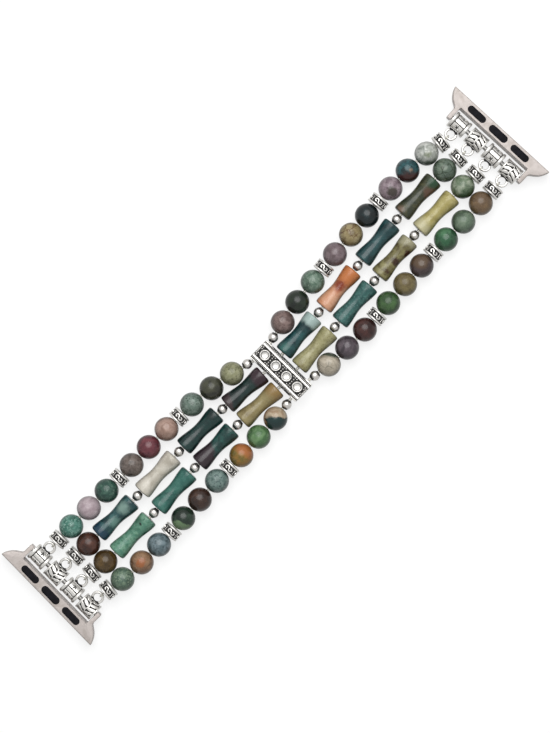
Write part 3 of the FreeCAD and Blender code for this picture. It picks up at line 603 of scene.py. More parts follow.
# Round stones of each strand from the bar outwards; strand A lies towards +Y, strand D towards -Y
BEADS: dict[tuple[str, str], tuple[StoneFinish, ...]] = {
    ("noon", "A"): (
        S("mauve_brown", "74605c", "8f7b76", "4f3f3b", 1.2, (specks("4a3836", 0.6, 0.5),)),
        S("black_green", "141b17", "293826", "0a0f0d", 2.4),
        S("grey_green", "526b5b", "7b9081", "34483c", 1.0, (specks("91a392", 0.5, 0.5),)),
        S("mauve_grey", "74656a", "8b7b7d", "57494b", 1.4),
        S("tan_cracked", "8f8059", "ab9d78", "5e4d2c", 1.6, (veins("55351a", 2.0, 0.7, 0.9),)),
        S("black_teal", "0f191b", "1d2f32", "080d0f", 2.6),
        S("lilac", "8e7d84", "a99aa0", "6e5e66", 1.6,
          (patch("463f3a", (-0.6, -0.9, 2.6), 1.25), specks("3a3330", 0.5, 0.4))),
        S("teal_wine", "1b3e43", "35666a", "0e2225", 1.5,
          (zone("3d1f1b", (-0.6, -0.8, 0.0), 0.8, 0.9), patch("8a6f5c", (0.4, -0.5, 2.9), 0.35),
           specks("10191a", 0.6, 0.5))),
        S("pale_moss", "a4a8a0", "e0e1dc", "67706a", 1.3,
          (patch("66704e", (-0.2, -0.5, 2.8), 0.55, 0.8), zone("4d584e", (-0.7, -0.8, -0.1), 1.6, 0.9))),
    ),
    ("noon", "D"): (
        S("cream_patched", "a89f8e", "c9bfad", "8a7f6e", 1.8,
          (zone("4d5448", (0.8, 0.5, -0.2), 1.5, 0.35), veins("3a4036", 2.6, 0.6, 0.6))),
        S("purple_grey", "463e45", "665b62", "2a2429", 1.6),
        S("oxblood", "3a211f", "58332e", "200f0e", 2.0),
        S("forest_green", "2f4b2b", "4e6f42", "1a2d1a", 2.0),
        S("olive_brown", "665a3c", "82764f", "423823", 1.8),
        S("dark_mauve", "3b302f", "57494a", "221a1a", 1.8, (zone("5a4838", (0.2, 0.5, 0.8), 1.9, 0.6),)),
        S("bottle_green", "2b573b", "52805c", "193824", 2.0),
        S("sage", "5a6d5a", "7c8d78", "3d4d3d", 1.8),
        S("walnut", "67533e", "846c4f", "433427", 2.2),
    ),
    ("six", "A"): (
        S("olive_speckled", "898a69", "a4a485", "6b6c4e", 1.2, (specks("5c5c41", 0.55, 0.7),)),
        S("olive_black", "32332a", "4d4e3d", "1c1d18", 1.8),
        S("lichen", "62756a", "84948a", "43544a", 1.1, (specks("37463b", 0.5, 0.7),)),
        S("pink_tan", "9c7f72", "b89c8f", "7a6054", 1.8),
        S("plum", "582a33", "7d434a", "391820", 2.2),
        S("taupe", "665b54", "817670", "463d38", 1.4, (specks("3e3833", 0.6, 0.5),)),
        S("sea_dark", "26483f", "446658", "152e2a", 1.4, (specks("5c7d6c", 0.6, 0.5),)),
        S("rose_quartz", "b3a2a8", "cdc0c3", "9b8990", 2.4),
        S("jade_mottled", "3c7365", "72a495", "2a5449", 1.0, (specks("8fb5a8", 0.45, 0.7),)),
    ),
    ("six", "D"): (
        S("shore", "b3a086", "cdbfa8", "947559", 1.8,
          (zone("16302f", (0.75, -0.66, 0.1), -0.2, 0.3), zone("9a6f4e", (0.7, 0.7, -0.3), 1.8, 0.5))),
        S("leaf_green", "456a41", "739668", "2a4828", 2.2),
        S("amber_olive", "72642f", "a27637", "4e461d", 2.2, (zone("a8683a", (-0.9, 0.2, 0.3), 1.2, 0.8),)),
        S("frost_green", "5a736d", "869a94", "3b4f4d", 1.0, (specks("33474a", 0.5, 0.7),)),
        S("coffee", "30201b", "50382d", "1a100d", 2.2),
        S("two_greens", "1d2f24", "34493a", "101b15", 2.0,
          (zone("6c8763", (0.8, -0.5, 0.0), 1.0, 0.25),)),
        S("storm_blue", "54666b", "809197", "35454a", 1.5, (specks("2f3c42", 0.6, 0.5),)),
        S("tan_brown", "7d5f49", "a07e60", "573f2c", 1.6, (patch("9a5f3a", (0.0, 0.2, 2.8), 1.1),)),
        S("moss_grain", "51685a", "758b74", "34483b", 0.9, (specks("8fa18a", 0.45, 0.6),)),
    ),
}

# The four round stones next to the bails, on strands A to D; the outer ones close the lists above
END_BEADS: dict[str, tuple[StoneFinish, StoneFinish]] = {
    "noon": (
        S("moss_veined", "56665a", "7e8c7b", "2a382b", 1.6, (veins("25331f", 2.0, 1.0, 0.9),)),
        S("green_grey", "66785f", "a8b19d", "3c5238", 1.5, (zone("2c4626", (-0.2, -0.9, 0.2), 2.0, 0.9),)),
    ),
    "six": (
        S("chestnut", "3a2119", "5d392c", "1e0f0b", 2.2),
        S("bronze_olive", "48361a", "6b532b", "2a1f0c", 2.2),
    ),
}

# Bamboo-shaped stones from the bar outwards; strand B lies towards +Y, strand C towards -Y
TUBES: dict[tuple[str, str], tuple[StoneFinish, ...]] = {
    ("noon", "B"): (
        S("teal_frosted", "12383c", "2b5a5a", "0a2024", 2.0,
          (zone("a3b8b3", (1.0, 0.0, 0.0), 3.2, 0.6), patch("33625c", (-4.5, 0.6, 2.2), 1.1, 0.9))),
        S("peach", "c48a68", "d9ab8e", "b4673e", 2.4,
          (zone("bd7343", (1.0, 0.0, 0.0), 1.6, 0.8), patch("7d3014", (0.8, 0.3, 1.6), 1.35, 0.8))),
        S("ink_teal", "17373a", "2c5355", "0d2427", 2.2),
        S("forest_brown", "34392a", "4e4d33", "222a1d", 1.8,
          (patch("5d4637", (2.6, -1.4, 1.2), 1.6, 0.6), patch("20412a", (5.0, -0.4, 1.8), 1.5, 0.7),
           patch("6a5848", (-5.2, 0.8, 1.8), 1.0, 0.5))),
    ),
    ("noon", "C"): (
        S("pale_olive", "98946a", "b0ab84", "7c7650", 2.0, (specks("6f6240", 0.5, 0.4),)),
        S("lagoon", "28524f", "44716b", "163b3b", 1.8, (specks("5b8a82", 0.6, 0.35),)),
        S("bark", "6d6642", "938e62", "45391f", 1.6,
          (zone("9b977a", (1.0, 0.3, 0.0), 3.8, 0.6), patch("35200f", (-0.5, -0.8, 1.4), 1.0),
           patch("3d2412", (2.8, -1.4, 1.0), 1.0), patch("402a14", (-4.0, -0.5, 1.6), 0.9))),
        S("straw", "a59a5e", "c0b883", "8b8049", 2.6, (zone("b9b38c", (-1.0, 0.2, 0.0), 3.4, 1.2),)),
    ),
    ("six", "B"): (
        S("green_purple", "101f1f", "1d3532", "081314", 2.2,
          (zone("33232a", (-1.0, 0.0, 0.0), 3.0, 0.8), zone("3a2f31", (1.0, 0.4, 0.0), 4.0, 0.5))),
        S("deep_green", "0c2626", "1c403c", "061717", 2.2),
        S("ivory", "c4beb0", "d8d3c7", "a9a294", 2.6),
        S("teal_marbled", "1d4446", "3c6566", "0e2a2e", 1.6,
          (patch("7a968d", (-3.2, 0.4, 1.6), 1.5, 0.9), patch("5f827a", (0.8, -0.7, 1.5), 1.3, 0.9),
           zone("16384a", (1.0, 0.0, 0.0), 3.8, 0.7))),
    ),
    ("six", "C"): (
        S("olive_tan", "877a54", "9f9368", "695a39", 2.4, (zone("8d7448", (-1.0, 0.0, 0.0), 3.4, 1.2),)),
        S("teal_to_plum", "163936", "2a5750", "0b2223", 1.6, (zone("2d2228", (1.0, 0.5, 0.0), 0.8, 0.7),)),
        S("sea_green", "2e6158", "4b7d71", "1c4742", 2.4),
        S("mint_dotted", "4d806c", "79a48b", "35604f", 1.4,
          (patch("0d120f", (-3.4, 0.4, 2.0), 0.38, 0.12), patch("10160f", (-2.6, -0.2, 1.9), 0.2, 0.1),
           specks("3d6a52", 0.7, 0.5))),
    ),
}

ANTIQUE = SilverFinish("antique_silver_cast", "cfcdc9")
POLISHED = SilverFinish("bright_silver_polished", "bcb9b5", "100f0e", 0.3, 0.65)
PEARL = PlainFinish(
    "pearl_metal_satin", "b7afaa", "c0b7b3", "aaa19b", (0.38, 0.5, 0.12, 0.05), 0.15, shine=0.3
)
PIN = PlainFinish("pin_steel_drawn", "a3a2a0", "b5b4b2", "6f6d6b", (0.22, 0.4, 0.1, 0.1), 1.0)
SPRING = PlainFinish("spring_steel_leaf", "9a9894", "aaa8a4", "716e6a", (0.25, 0.4, 0.1, 0.1), 1.0)
PAD = PlainFinish("pad_rubber_black", "141318", "1b1a20", "0c0c0e", (0.55, 0.7, 0.1, 0.2), shine=0.08)
CORD = PlainFinish(
    "elastic_cord_clear", "dedcd2", "f0eee6", "c2beb0", (0.12, 0.25, 0.4, 0.05), coat=0.2, clear=0.55
)


# Shapes


@dataclass
class Form:
    """Points in millimetres, faces, and each point's wear and painted shade: 1 on a crest, 0 in a hollow or
    where shade is painted.
    """

    points: list[Vector] = field(default_factory=list)
    faces: list[tuple[int, ...]] = field(default_factory=list)
    wear_and_shade: list[float] = field(default_factory=list)

    def add(self, points: Iterable[Any], faces: Iterable[Sequence[int]], wear_and_shade: Any = 1.0) -> "Form":
        """Adds points and the faces between them.

        Args:
            points: The new points.
            faces: Faces, numbered from the first new point.
            wear_and_shade: One value for all the new points, or one for each.

        Returns:
            The form itself.
        """
        first = len(self.points)
        fresh = [Vector(point) for point in points]
        self.points += fresh
        self.faces += [tuple(first + index for index in face) for face in faces]
        self.wear_and_shade += [float(wear_and_shade)] * len(fresh) if isinstance(wear_and_shade, (int, float)) else list(wear_and_shade)
        return self

    def join(self, other: "Form", matrix: Matrix = Matrix.Identity(4)) -> "Form":
        """Adds another form, moved by a matrix in millimetres."""
        return self.add((matrix @ point for point in other.points), other.faces, other.wear_and_shade)

    def moved(self, matrix: Matrix) -> "Form":
        """The form, moved by a matrix in millimetres."""
        return Form().join(self, matrix)

    def to_object(self, name: str, crease: float = 35.0) -> bpy.types.Object:
        """Makes a Blender object of the form.

        Args:
            name: The piece's name.
            crease: Edges that fold by more than this many degrees stay sharp.

        Returns:
            The object, linked to the scene.
        """
        mesh = bpy.data.meshes.new(name)
        mesh.from_pydata([point * MM for point in self.points], [], self.faces)
        mesh.attributes.new("wear_and_shade", "FLOAT", "POINT").data.foreach_set("value", self.wear_and_shade)
        smooth_out(mesh, crease)
        made = bpy.data.objects.new(name, mesh)
        bpy.context.scene.collection.objects.link(made)
        return made


def smooth_out(mesh: bpy.types.Mesh, crease: float) -> None:
    """Turns faces outwards and shades a mesh smooth between edges that fold by more than the crease.

    Args:
        mesh: The mesh.
        crease: In degrees.
    """
    work = bmesh.new()
    work.from_mesh(mesh)
    bmesh.ops.recalc_face_normals(work, faces=work.faces)
    for face in work.faces:
        face.smooth = True
    for edge in work.edges:
        edge.smooth = edge.calc_face_angle(0.0) < math.radians(crease)
    work.to_mesh(mesh)
    work.free()


Line = list[tuple[float, float]]
Face = tuple[int, ...]
Relief = Callable[[np.ndarray, np.ndarray], tuple[np.ndarray, np.ndarray]]


def circle(radius: float, sides: int) -> Line:
    """Points evenly round a circle."""
    turns = [math.tau * side / sides for side in range(sides)]
    return [(radius * math.cos(turn), radius * math.sin(turn)) for turn in turns]


def mirrored(line: Sequence[tuple[float, float]]) -> Line:
    """A line of (radius, along) as it goes on at the other end of its piece."""
    return [(radius, -along) for radius, along in reversed(line)]


def skin(rings: int, sides: int, looped: bool = False) -> list[Face]:
    """The faces between rings of points, and from the last ring to the first where it is looped."""
    pairs = [(ring, (ring + 1) % rings) for ring in range(rings if looped else rings - 1)]
    return [
        (low * sides + side, low * sides + after, high * sides + after, high * sides + side)
        for low, high in pairs for side, after in ((k, (k + 1) % sides) for k in range(sides))
    ]


def closed_skin(rings: int, sides: int) -> list[Face]:
    """The faces between rings of points, and one over each end."""
    last = (rings - 1) * sides
    return skin(rings, sides) + [tuple(range(sides)), tuple(range(last + sides - 1, last - 1, -1))]


def lathe(profile: Sequence[tuple[float, float]], sides: int, relief: Relief | None = None) -> Form:
    """A turned form round the Z axis.

    Args:
        profile: A closed line of (radius, along), which does not touch the axis.
        sides: Points round each ring.
        relief: Takes places along and angles round, and gives the height to add and the wear and painted
            shade.

    Returns:
        The form.
    """
    rings = np.array(profile, float)
    turns = np.arange(sides) * math.tau / sides
    radius = np.repeat(rings[:, :1], sides, axis=1)
    along = np.repeat(rings[:, 1:], sides, axis=1)
    angle = np.repeat(turns[None, :], len(rings), axis=0)
    wear_and_shade = np.ones_like(radius)
    if relief:
        rise, wear_and_shade = relief(along, angle)
        outside = np.repeat((rings[:, 0] > 0.5 * rings[:, 0].max())[:, None], sides, axis=1)
        radius = radius + np.where(outside, rise, 0.0)
        wear_and_shade = np.where(outside, wear_and_shade, 0.6)
    points = np.stack([radius * np.cos(angle), radius * np.sin(angle), along], axis=2).reshape(-1, 3)
    return Form().add(points.tolist(), skin(len(rings), sides, looped=True), wear_and_shade.ravel().tolist())


def tube(line: Sequence[Vector], radius: float, sides: int = 10, wear_and_shade: float = 1.0) -> Form:
    """A round tube along a line, closed at both ends.

    Args:
        line: Points of the middle line.
        radius: The tube's radius.
        sides: Points round the tube.
        wear_and_shade: The wear of its whole surface.

    Returns:
        The form.
    """
    points: list[Vector] = []
    across = (line[1] - line[0]).orthogonal().normalized()
    for index, point in enumerate(line):
        ahead = line[min(index + 1, len(line) - 1)] - line[max(index - 1, 0)]
        across = (across - across.project(ahead)).normalized()
        other = ahead.normalized().cross(across)
        points += [point + (across * x + other * y) * radius for x, y in circle(1.0, sides)]
    return Form().add(points, closed_skin(len(line), sides), wear_and_shade)


# Outlines of a boss from its foot up: shares of its radius and of its height, and the wear
ROUND = tuple(
    (math.cos(step * math.pi / 8), math.sin(step * math.pi / 8), min(step, 1.0)) for step in range(4)
)
STUD = (
    (1.0, 0.0, 0.0), (1.0, 0.6, 0.9), (0.97, 0.86, 1.0), (0.9, 0.98, 1.0), (0.83, 1.0, 1.0),
    (0.77, 0.9, 0.35),
)


def boss(
    middle: Point, radius: float, height: float, sides: int = 12, shape: Sequence[Point] = ROUND
) -> Form:
    """A raised boss, closed underneath.

    Args:
        middle: The middle of its base.
        radius: Its radius.
        height: From the base to the crown.
        sides: Points round it.
        shape: Its outline.

    Returns:
        The form.
    """
    x, y, z = middle
    points = [
        (x + radius * reach * u, y + radius * reach * v, z + height * rise)
        for reach, rise, _ in shape for u, v in circle(1.0, sides)
    ]
    wear_and_shade = [wear for _, _, wear in shape for _ in range(sides)]
    crown = len(points)
    top = crown - sides
    fan = [(top + side, top + (side + 1) % sides, crown) for side in range(sides)]
    faces = skin(len(shape), sides) + fan + [tuple(range(sides - 1, -1, -1))]
    return Form().add(points + [(x, y, z + height)], faces, wear_and_shade + [1.0])


def prism(outline: Line, low: float, high: float) -> Form:
    """A flat outline carried up from one height to another."""
    points = [(x, y, z) for z in (low, high) for x, y in outline]
    return Form().add(points, closed_skin(2, len(outline)))


def pill_outline(length: float, width: float, middle: tuple[float, float], steps: int = 12) -> Line:
    """A pill's outline, long in Y.

    Args:
        length: Its whole length.
        width: Its width.
        middle: Its middle.
        steps: Steps round each end.

    Returns:
        The outline.
    """
    radius, reach = width / 2, (length - width) / 2
    line = []
    for end, first in ((1, 0.0), (-1, math.pi)):
        for step in range(steps + 1):
            turn = math.pi * step / steps + first
            place = middle[1] + end * reach
            line.append((middle[0] + radius * math.cos(turn), place + radius * math.sin(turn)))
    return line


def cut_out(body: bpy.types.Object, cutters: Sequence[Form]) -> None:
    """Cuts forms out of a body, and leaves plain geometry.

    Args:
        body: The object to cut.
        cutters: Forms in the body's own millimetres.
    """
    tools = [cutter.to_object(f"{body.name}_cutter_{index}") for index, cutter in enumerate(cutters)]
    for tool in tools:
        change = body.modifiers.new("cut", "BOOLEAN")
        change.operation = "DIFFERENCE"
        change.solver = "EXACT"
        change.object = tool
    settle(body)
    for tool in tools:
        spent = tool.data
        bpy.data.objects.remove(tool)
        bpy.data.meshes.remove(spent)


def bare_ends(body: bpy.types.Object, reach: float) -> None:
    """Gives a cast body's two end faces the wear of bare metal, whatever their corners have.

    Args:
        body: The body, along Y.
        reach: The faces past this place on Y, in millimetres, are its ends.
    """
    mesh = body.data
    wear_and_shade = [item.value for item in mesh.attributes["wear_and_shade"].data]
    mesh.attributes.remove(mesh.attributes["wear_and_shade"])
    corners = mesh.attributes.new("wear_and_shade", "FLOAT", "CORNER")
    for face in mesh.polygons:
        bare = abs(face.center.y) > reach * MM
        for corner in face.loop_indices:
            corners.data[corner].value = 0.9 if bare else wear_and_shade[mesh.loops[corner].vertex_index]


def settle(body: bpy.types.Object) -> None:
    """Turns an object's modifiers into plain geometry.

    Args:
        body: The object.
    """
    bpy.context.view_layer.update()
    graph = bpy.context.evaluated_depsgraph_get()
    mesh = bpy.data.meshes.new_from_object(body.evaluated_get(graph))
    body.modifiers.clear()
    body.data = mesh


# Where the frame has each solid


@dataclass(frozen=True)
class Spot:
    """Where one solid of a node lies.

    The middle is in metres. The matrix puts a form, made along its own Z and with its own X up,
    in the solid's place, with Z pointing away from the centre bar.
    """

    node: str
    body: str
    middle: Vector
    matrix: Matrix

    @property
    def outward(self) -> Vector:
        """The direction along the strand, away from the centre bar."""
        return self.matrix.col[2].xyz.normalized()


def solids_of(node: str) -> list[np.ndarray]:
    """The points of each separate solid in a CAD node.

    Args:
        node: The node's name.

    Returns:
        For each solid, its corners as rows in metres, without doubles.
    """
    mesh = frame["nodes"][node].data
    places = np.zeros(len(mesh.vertices) * 3)
    mesh.vertices.foreach_get("co", places)
    places = places.reshape(-1, 3)
    corners, which = np.unique(np.round(places / WELD).astype(int), axis=0, return_inverse=True)
    which = which.ravel()
    owner = np.arange(len(corners))

    def root(index: int) -> int:
        """The first corner of the solid that a corner belongs to.

        Args:
            index: The corner.

        Returns:
            The first corner.
        """
        while owner[index] != index:
            owner[index] = owner[owner[index]]
            index = owner[index]
        return index

    for polygon in mesh.polygons:
        joined = [root(which[vertex]) for vertex in polygon.vertices]
        for other in joined[1:]:
            owner[root(other)] = root(joined[0])
    groups: dict[int, list[int]] = {}
    for index in range(len(corners)):
        groups.setdefault(root(index), []).append(index)
    return [corners[members] * WELD for members in groups.values()]


def spot_of(node: str, corners: np.ndarray) -> Spot:
    """The middle and the turning axis of one solid.

    Args:
        node: The CAD node.
        corners: The solid's corners in metres.

    Returns:
        Where it lies.
    """
    middle = corners.mean(axis=0)
    spreads, axes = np.linalg.eigh(np.cov((corners - middle).T))
    odd = 0 if abs(spreads[1] - spreads[0]) > abs(spreads[2] - spreads[1]) else 2
    axis = Vector(axes[:, odd])
    axis.z = 0.0
    axis.normalize()
    if axis.dot(Vector((middle[0], middle[1], 0))) < 0:
        axis.negate()
    matrix = Matrix((UP, axis.cross(UP), axis)).transposed().to_4x4()
    matrix.translation = Vector(middle)
    return Spot(node, frame["nodes"][node]["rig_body"], Vector(middle), matrix)


def strands_of(node: str, count: int) -> list[list[Spot]]:
    """A node's solids by strand, from +Y to -Y, each from the bar outwards.

    Args:
        node: The node's name.
        count: How many strands the node's solids lie on.

    Returns:
        One list of spots for each strand.
    """
    spots = sorted((spot_of(node, corners) for corners in solids_of(node)), key=lambda s: -s.middle.y)
    share = len(spots) // count
    return [
        sorted(spots[first:first + share], key=lambda s: abs(s.middle.x))
        for first in range(0, len(spots), share)
    ]


def finish_piece(
    piece: bpy.types.Object, body: str, slot: str, material: bpy.types.Material, *nodes: str,
    seat: Matrix = Matrix.Identity(4),
) -> bpy.types.Object:
    """Seats a piece, dresses it and ties it to the frame.

    Args:
        piece: The object.
        body: The CAD body that it rides on, or an empty text for a piece that spans two bodies and is tied
            to neither.
        slot: The record's material slot; not used.
        material: Its finish.
        nodes: CAD nodes that it stands for.
        seat: Where it lies.

    Returns:
        The piece.
    """
    piece.matrix_world = seat
    piece.data.materials.clear()
    piece.data.materials.append(material)
    if body:
        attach(piece, body)
    if nodes:
        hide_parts(*nodes)
    log.info("%s rides on %s with %s", piece.name, body or "two bodies", material.name)
    return piece


def string_pieces(node: str, letters: str, form: Form, slot: str, material: bpy.types.Material) -> None:
    """Makes one piece for each strand of a node.

    Args:
        node: The CAD node.
        letters: The strands that it lies on.
        form: The pieces' shape.
        slot: The record's material slot.
        material: Their finish.
    """
    for letter, strand in zip(letters, strands_of(node, len(letters))):
        piece = form.to_object(f"{node}_{letter}")
        finish_piece(piece, strand[0].body, slot, material, node, seat=strand[0].matrix)


def ball_line(radius: float, mouth: float, rings: int) -> Line:
    """A ball's outline as (radius, along) between the mouths of its hole.

    Args:
        radius: The ball's radius.
        mouth: Radius of the mouths.
        rings: Steps between them.

    Returns:
        The outline.
    """
    start = math.asin(mouth / radius)
    polars = [start + ring / rings * (math.pi - 2 * start) for ring in range(rings + 1)]
    return [(radius * math.sin(polar), -radius * math.cos(polar)) for polar in polars]


def drum_line(half: float, rim: float, top: float, roll: float, drum: float, rings: int, gap: float) -> Line:
    """A drum's outline as (radius, along), with a rolled rim at each end.

    Args:
        half: Half the length.
        rim: Width of a rim.
        top: Radius of the rims.
        roll: How far a rim falls to its edges.
        drum: Radius between the rims.
        rings: Points between them.
        gap: From a rim to the first of these points.

    Returns:
        The outline, without the bore.
    """
    turns = [math.pi * step / 6 for step in range(7)]
    rolled = [(top - roll * (1 - math.sin(turn)), half - rim / 2 * (1 + math.cos(turn))) for turn in turns]
    edge = half - rim - gap
    return mirrored(rolled) + [(drum, along) for along in np.linspace(-edge, edge, rings)] + rolled


# The band's pieces


@dataclass
class Stones:
    """Round beads and bamboo-shaped tubes, drilled for the cord."""

    bead_radius: float = 2.98
    tube_length: float = 11.75
    tube_end: float = 2.4
    tube_waist: float = 1.86
    tube_round: float = 0.5
    bore: float = 0.5
    mouth: float = 0.64
    chamfer: float = 0.12
    seed: int = 0

    def bead_form(self) -> Form:
        """A ball with a drilled hole and a small chamfer round it.

        Returns:
            The form.
        """
        profile = ball_line(self.bead_radius, self.mouth, 26)
        depth = profile[-1][1] - self.chamfer
        return lathe(profile + [(self.bore, depth), (self.bore, -depth)], 48)

    def tube_form(self) -> Form:
        """A bamboo joint: drawn in at the waist, flared and rounded at its ends.

        Returns:
            The form.
        """
        half, flare = self.tube_length / 2, self.tube_end - self.tube_waist
        straight = half - self.tube_round
        outer = [
            (self.tube_waist + flare * math.sin(math.pi / 2 * share) ** 2, share * straight)
            for share in (step / 14 for step in range(15))
        ]
        corner = self.tube_end - self.tube_round
        outer += [(corner + x, straight + y) for x, y in circle(self.tube_round, 20)[1:6]]
        outer += [(self.bore + self.chamfer, half), (self.bore, half - self.chamfer)]
        return lathe(mirrored(outer) + outer[1:], 40)

    def place(self, name: str, form: Form, spot: Spot, finish: StoneFinish, slot: str) -> None:
        """Puts one stone on its strand.

        Args:
            name: The piece's name.
            form: The stone's shape.
            spot: Where the frame has it.
            finish: Its agate.
            slot: The record's material slot.
        """
        self.seed += 1
        band = Matrix((spot.outward, Vector((0, 1, 0)), UP)).transposed()
        turn = spot.matrix.to_3x3().inverted() @ band
        material = finish.material(self.seed, turn)
        finish_piece(form.to_object(name), spot.body, slot, material, spot.node, seat=spot.matrix)

    def build(self) -> None:
        """Makes every stone of both halves."""
        bead, bamboo = self.bead_form(), self.tube_form()
        for half in HALVES:
            ends = strands_of(f"{half}_end_row_beads", 4)
            for letter, strand in (("A", 0), ("D", 1)):
                finishes = iter(BEADS[half, letter])
                for row in range(1, 5):
                    for number, spot in enumerate(strands_of(f"{half}_row_{row}_beads", 2)[strand], 1):
                        name = f"{half}_{letter}_bead_{row}_{number}"
                        self.place(name, bead, spot, next(finishes), "agate_beads")
                last = ends[strand * 3][0]
                self.place(f"{half}_{letter}_bead_end", bead, last, next(finishes), "agate_beads")
            for letter, strand in (("B", 0), ("C", 1)):
                last = ends[strand + 1][0]
                self.place(f"{half}_{letter}_bead_end", bead, last, END_BEADS[half][strand], "agate_beads")
                for row, finish in enumerate(TUBES[half, letter], 1):
                    spot = strands_of(f"{half}_row_{row}_bamboo_tubes", 2)[strand][0]
                    self.place(f"{half}_{letter}_tube_{row}", bamboo, spot, finish, "agate_tubes")


@dataclass
class SilverRounds:
    """Small silver rounds between the tubes and beside the bar."""

    radius: float = 1.24
    bore: float = 0.5
    lip: float = 0.7

    def form(self) -> Form:
        """A round with a rolled lip at each end of its hole.

        Returns:
            The form.
        """
        profile = ball_line(self.radius, self.lip, 16)
        end = profile[-1][1]
        mouth = [(self.lip - 0.03, end + 0.16), (self.bore + 0.06, end + 0.2), (self.bore, end + 0.1)]
        profile += mouth + mirrored(mouth)

        def wear(along: np.ndarray, angle: np.ndarray) -> tuple[np.ndarray, np.ndarray]:
            """Bright over the girth, and dark round each end: patina in the corner under each lip, and
            painted shade in a band on the ball next to it.

            Args:
                along: Places along the piece.
                angle: Angles round it.

            Returns:
                No height, and the wear and painted shade.
            """
            # partly patina in the corner under each lip, and beyond that painted shade: the ball turns black
            # in a band towards each lip as a dark outline round the round
            share = np.clip((0.86 * end - np.abs(along)) / 0.22 + 0.3, 0.0, 1.0)
            lips = np.abs(along) > end + 0.1
            return np.zeros_like(along), np.where(lips, 0.45, share)

        return lathe(profile, 32, wear)

    def build(self) -> None:
        """Makes the rounds of both halves."""
        form, material = self.form(), POLISHED.material()
        for half in HALVES:
            string_pieces(f"{half}_row_1_silver_rounds", "AD", form, "bright_silver", material)
            for row in (1, 2, 3):
                string_pieces(f"{half}_row_{row}_stretch_rounds", "BC", form, "bright_silver", material)


def spiral_scroll(reach: float, curl: float, steps: int = 26) -> np.ndarray:
    """An S whose two ends curl in, lying along its first axis.

    Args:
        reach: Radius of each half of the S.
        curl: How far each end curls, in turns.
        steps: Points for each half.

    Returns:
        The points of the S, in millimetres.
    """
    share = np.linspace(0, 1, steps)
    turn = share * curl * math.tau
    shrink = reach * (1 - 0.55 * share)
    along = reach - shrink * np.cos(turn) - (reach - shrink) * 0.15
    half = np.stack([along, -shrink * np.sin(turn)], axis=1)
    return np.concatenate([-half[::-1], half[1:]])


def nearest(u: np.ndarray, v: np.ndarray, line: np.ndarray) -> np.ndarray:
    """How far each place is from a line.

    Args:
        u: First coordinates.
        v: Second coordinates.
        line: The line's points.

    Returns:
        The distances, in the shape of u.
    """
    best = np.full(u.shape, 1e9)
    for start, end in zip(line[:-1], line[1:]):
        run = end - start
        share = np.clip(((u - start[0]) * run[0] + (v - start[1]) * run[1]) / max(run @ run, 1e-9), 0, 1)
        best = np.minimum(best, np.hypot(u - start[0] - share * run[0], v - start[1] - share * run[1]))
    return best


def crest(distance: np.ndarray, width: float, edge: float) -> np.ndarray:
    """1 within a width, falling softly to 0 over an edge."""
    share = np.clip((width + edge - distance) / edge, 0, 1)
    return share * share * (3 - 2 * share)


@dataclass
class SpacerRings:
    """Cast silver rings: two smooth rims, and a row of S-scrolls on a blackened drum between them."""

    length: float = 2.48
    rim_radius: float = 2.39
    drum_radius: float = 2.05
    rim_width: float = 0.5
    motifs: int = 4
    relief: float = 0.27
    bore: float = 0.5
    seat: float = 0.75
    seat_depth: float = 0.32
    dot_pitch: float = 0.42
    scroll_reach: float = 0.54
    scroll_curl: float = 0.74
    stroke: float = 0.13
    stroke_edge: float = 0.08

    def profile(self) -> Line:
        """The ring's closed outline, with rounded rims.

        Returns:
            The outline as (radius, along).
        """
        half, rim = self.length / 2, self.rim_width
        inner = [(self.seat, half), (self.bore, half - self.seat_depth)]
        outer = drum_line(half, rim, self.rim_radius, rim * 0.4, self.drum_radius, 25, 0.03)
        return outer + inner + mirrored(inner)

    def relief_at(self, along: np.ndarray, angle: np.ndarray) -> tuple[np.ndarray, np.ndarray]:
        """Height and wear of the scrolls and dots on the drum.

        Args:
            along: Places along the piece.
            angle: Angles round it.

        Returns:
            The height and the wear.
        """
        pitch = math.tau * self.drum_radius / self.motifs
        around = np.mod(angle * self.drum_radius, pitch) - pitch / 2
        line = spiral_scroll(self.scroll_reach, self.scroll_curl)
        scroll = crest(nearest(around, along, line), self.stroke, self.stroke_edge)
        dots = np.zeros_like(along)
        for away in (-self.dot_pitch, 0.0, self.dot_pitch):
            for across in (-pitch / 2, pitch / 2):
                far = np.hypot(around - across, along - away)
                dots = np.maximum(dots, crest(far, self.stroke, self.stroke_edge))
        raised = np.maximum(scroll, dots)
        on_drum = np.abs(along) < self.length / 2 - self.rim_width + 0.01
        return np.where(on_drum, raised * self.relief, 0.0), np.where(on_drum, raised, 1.0)

    def build(self) -> None:
        """Makes the rings of both halves, each turned so that a scroll faces up."""
        turn = Matrix.Rotation(math.pi / self.motifs, 4, "Z")
        form, material = lathe(self.profile(), 150, self.relief_at).moved(turn), ANTIQUE.material()
        for half in HALVES:
            for row, letters in (("row_2", "AD"), ("row_3", "AD"), ("end_row", "ABCD")):
                string_pieces(f"{half}_{row}_spacer_rings", letters, form, "antique_silver", material)


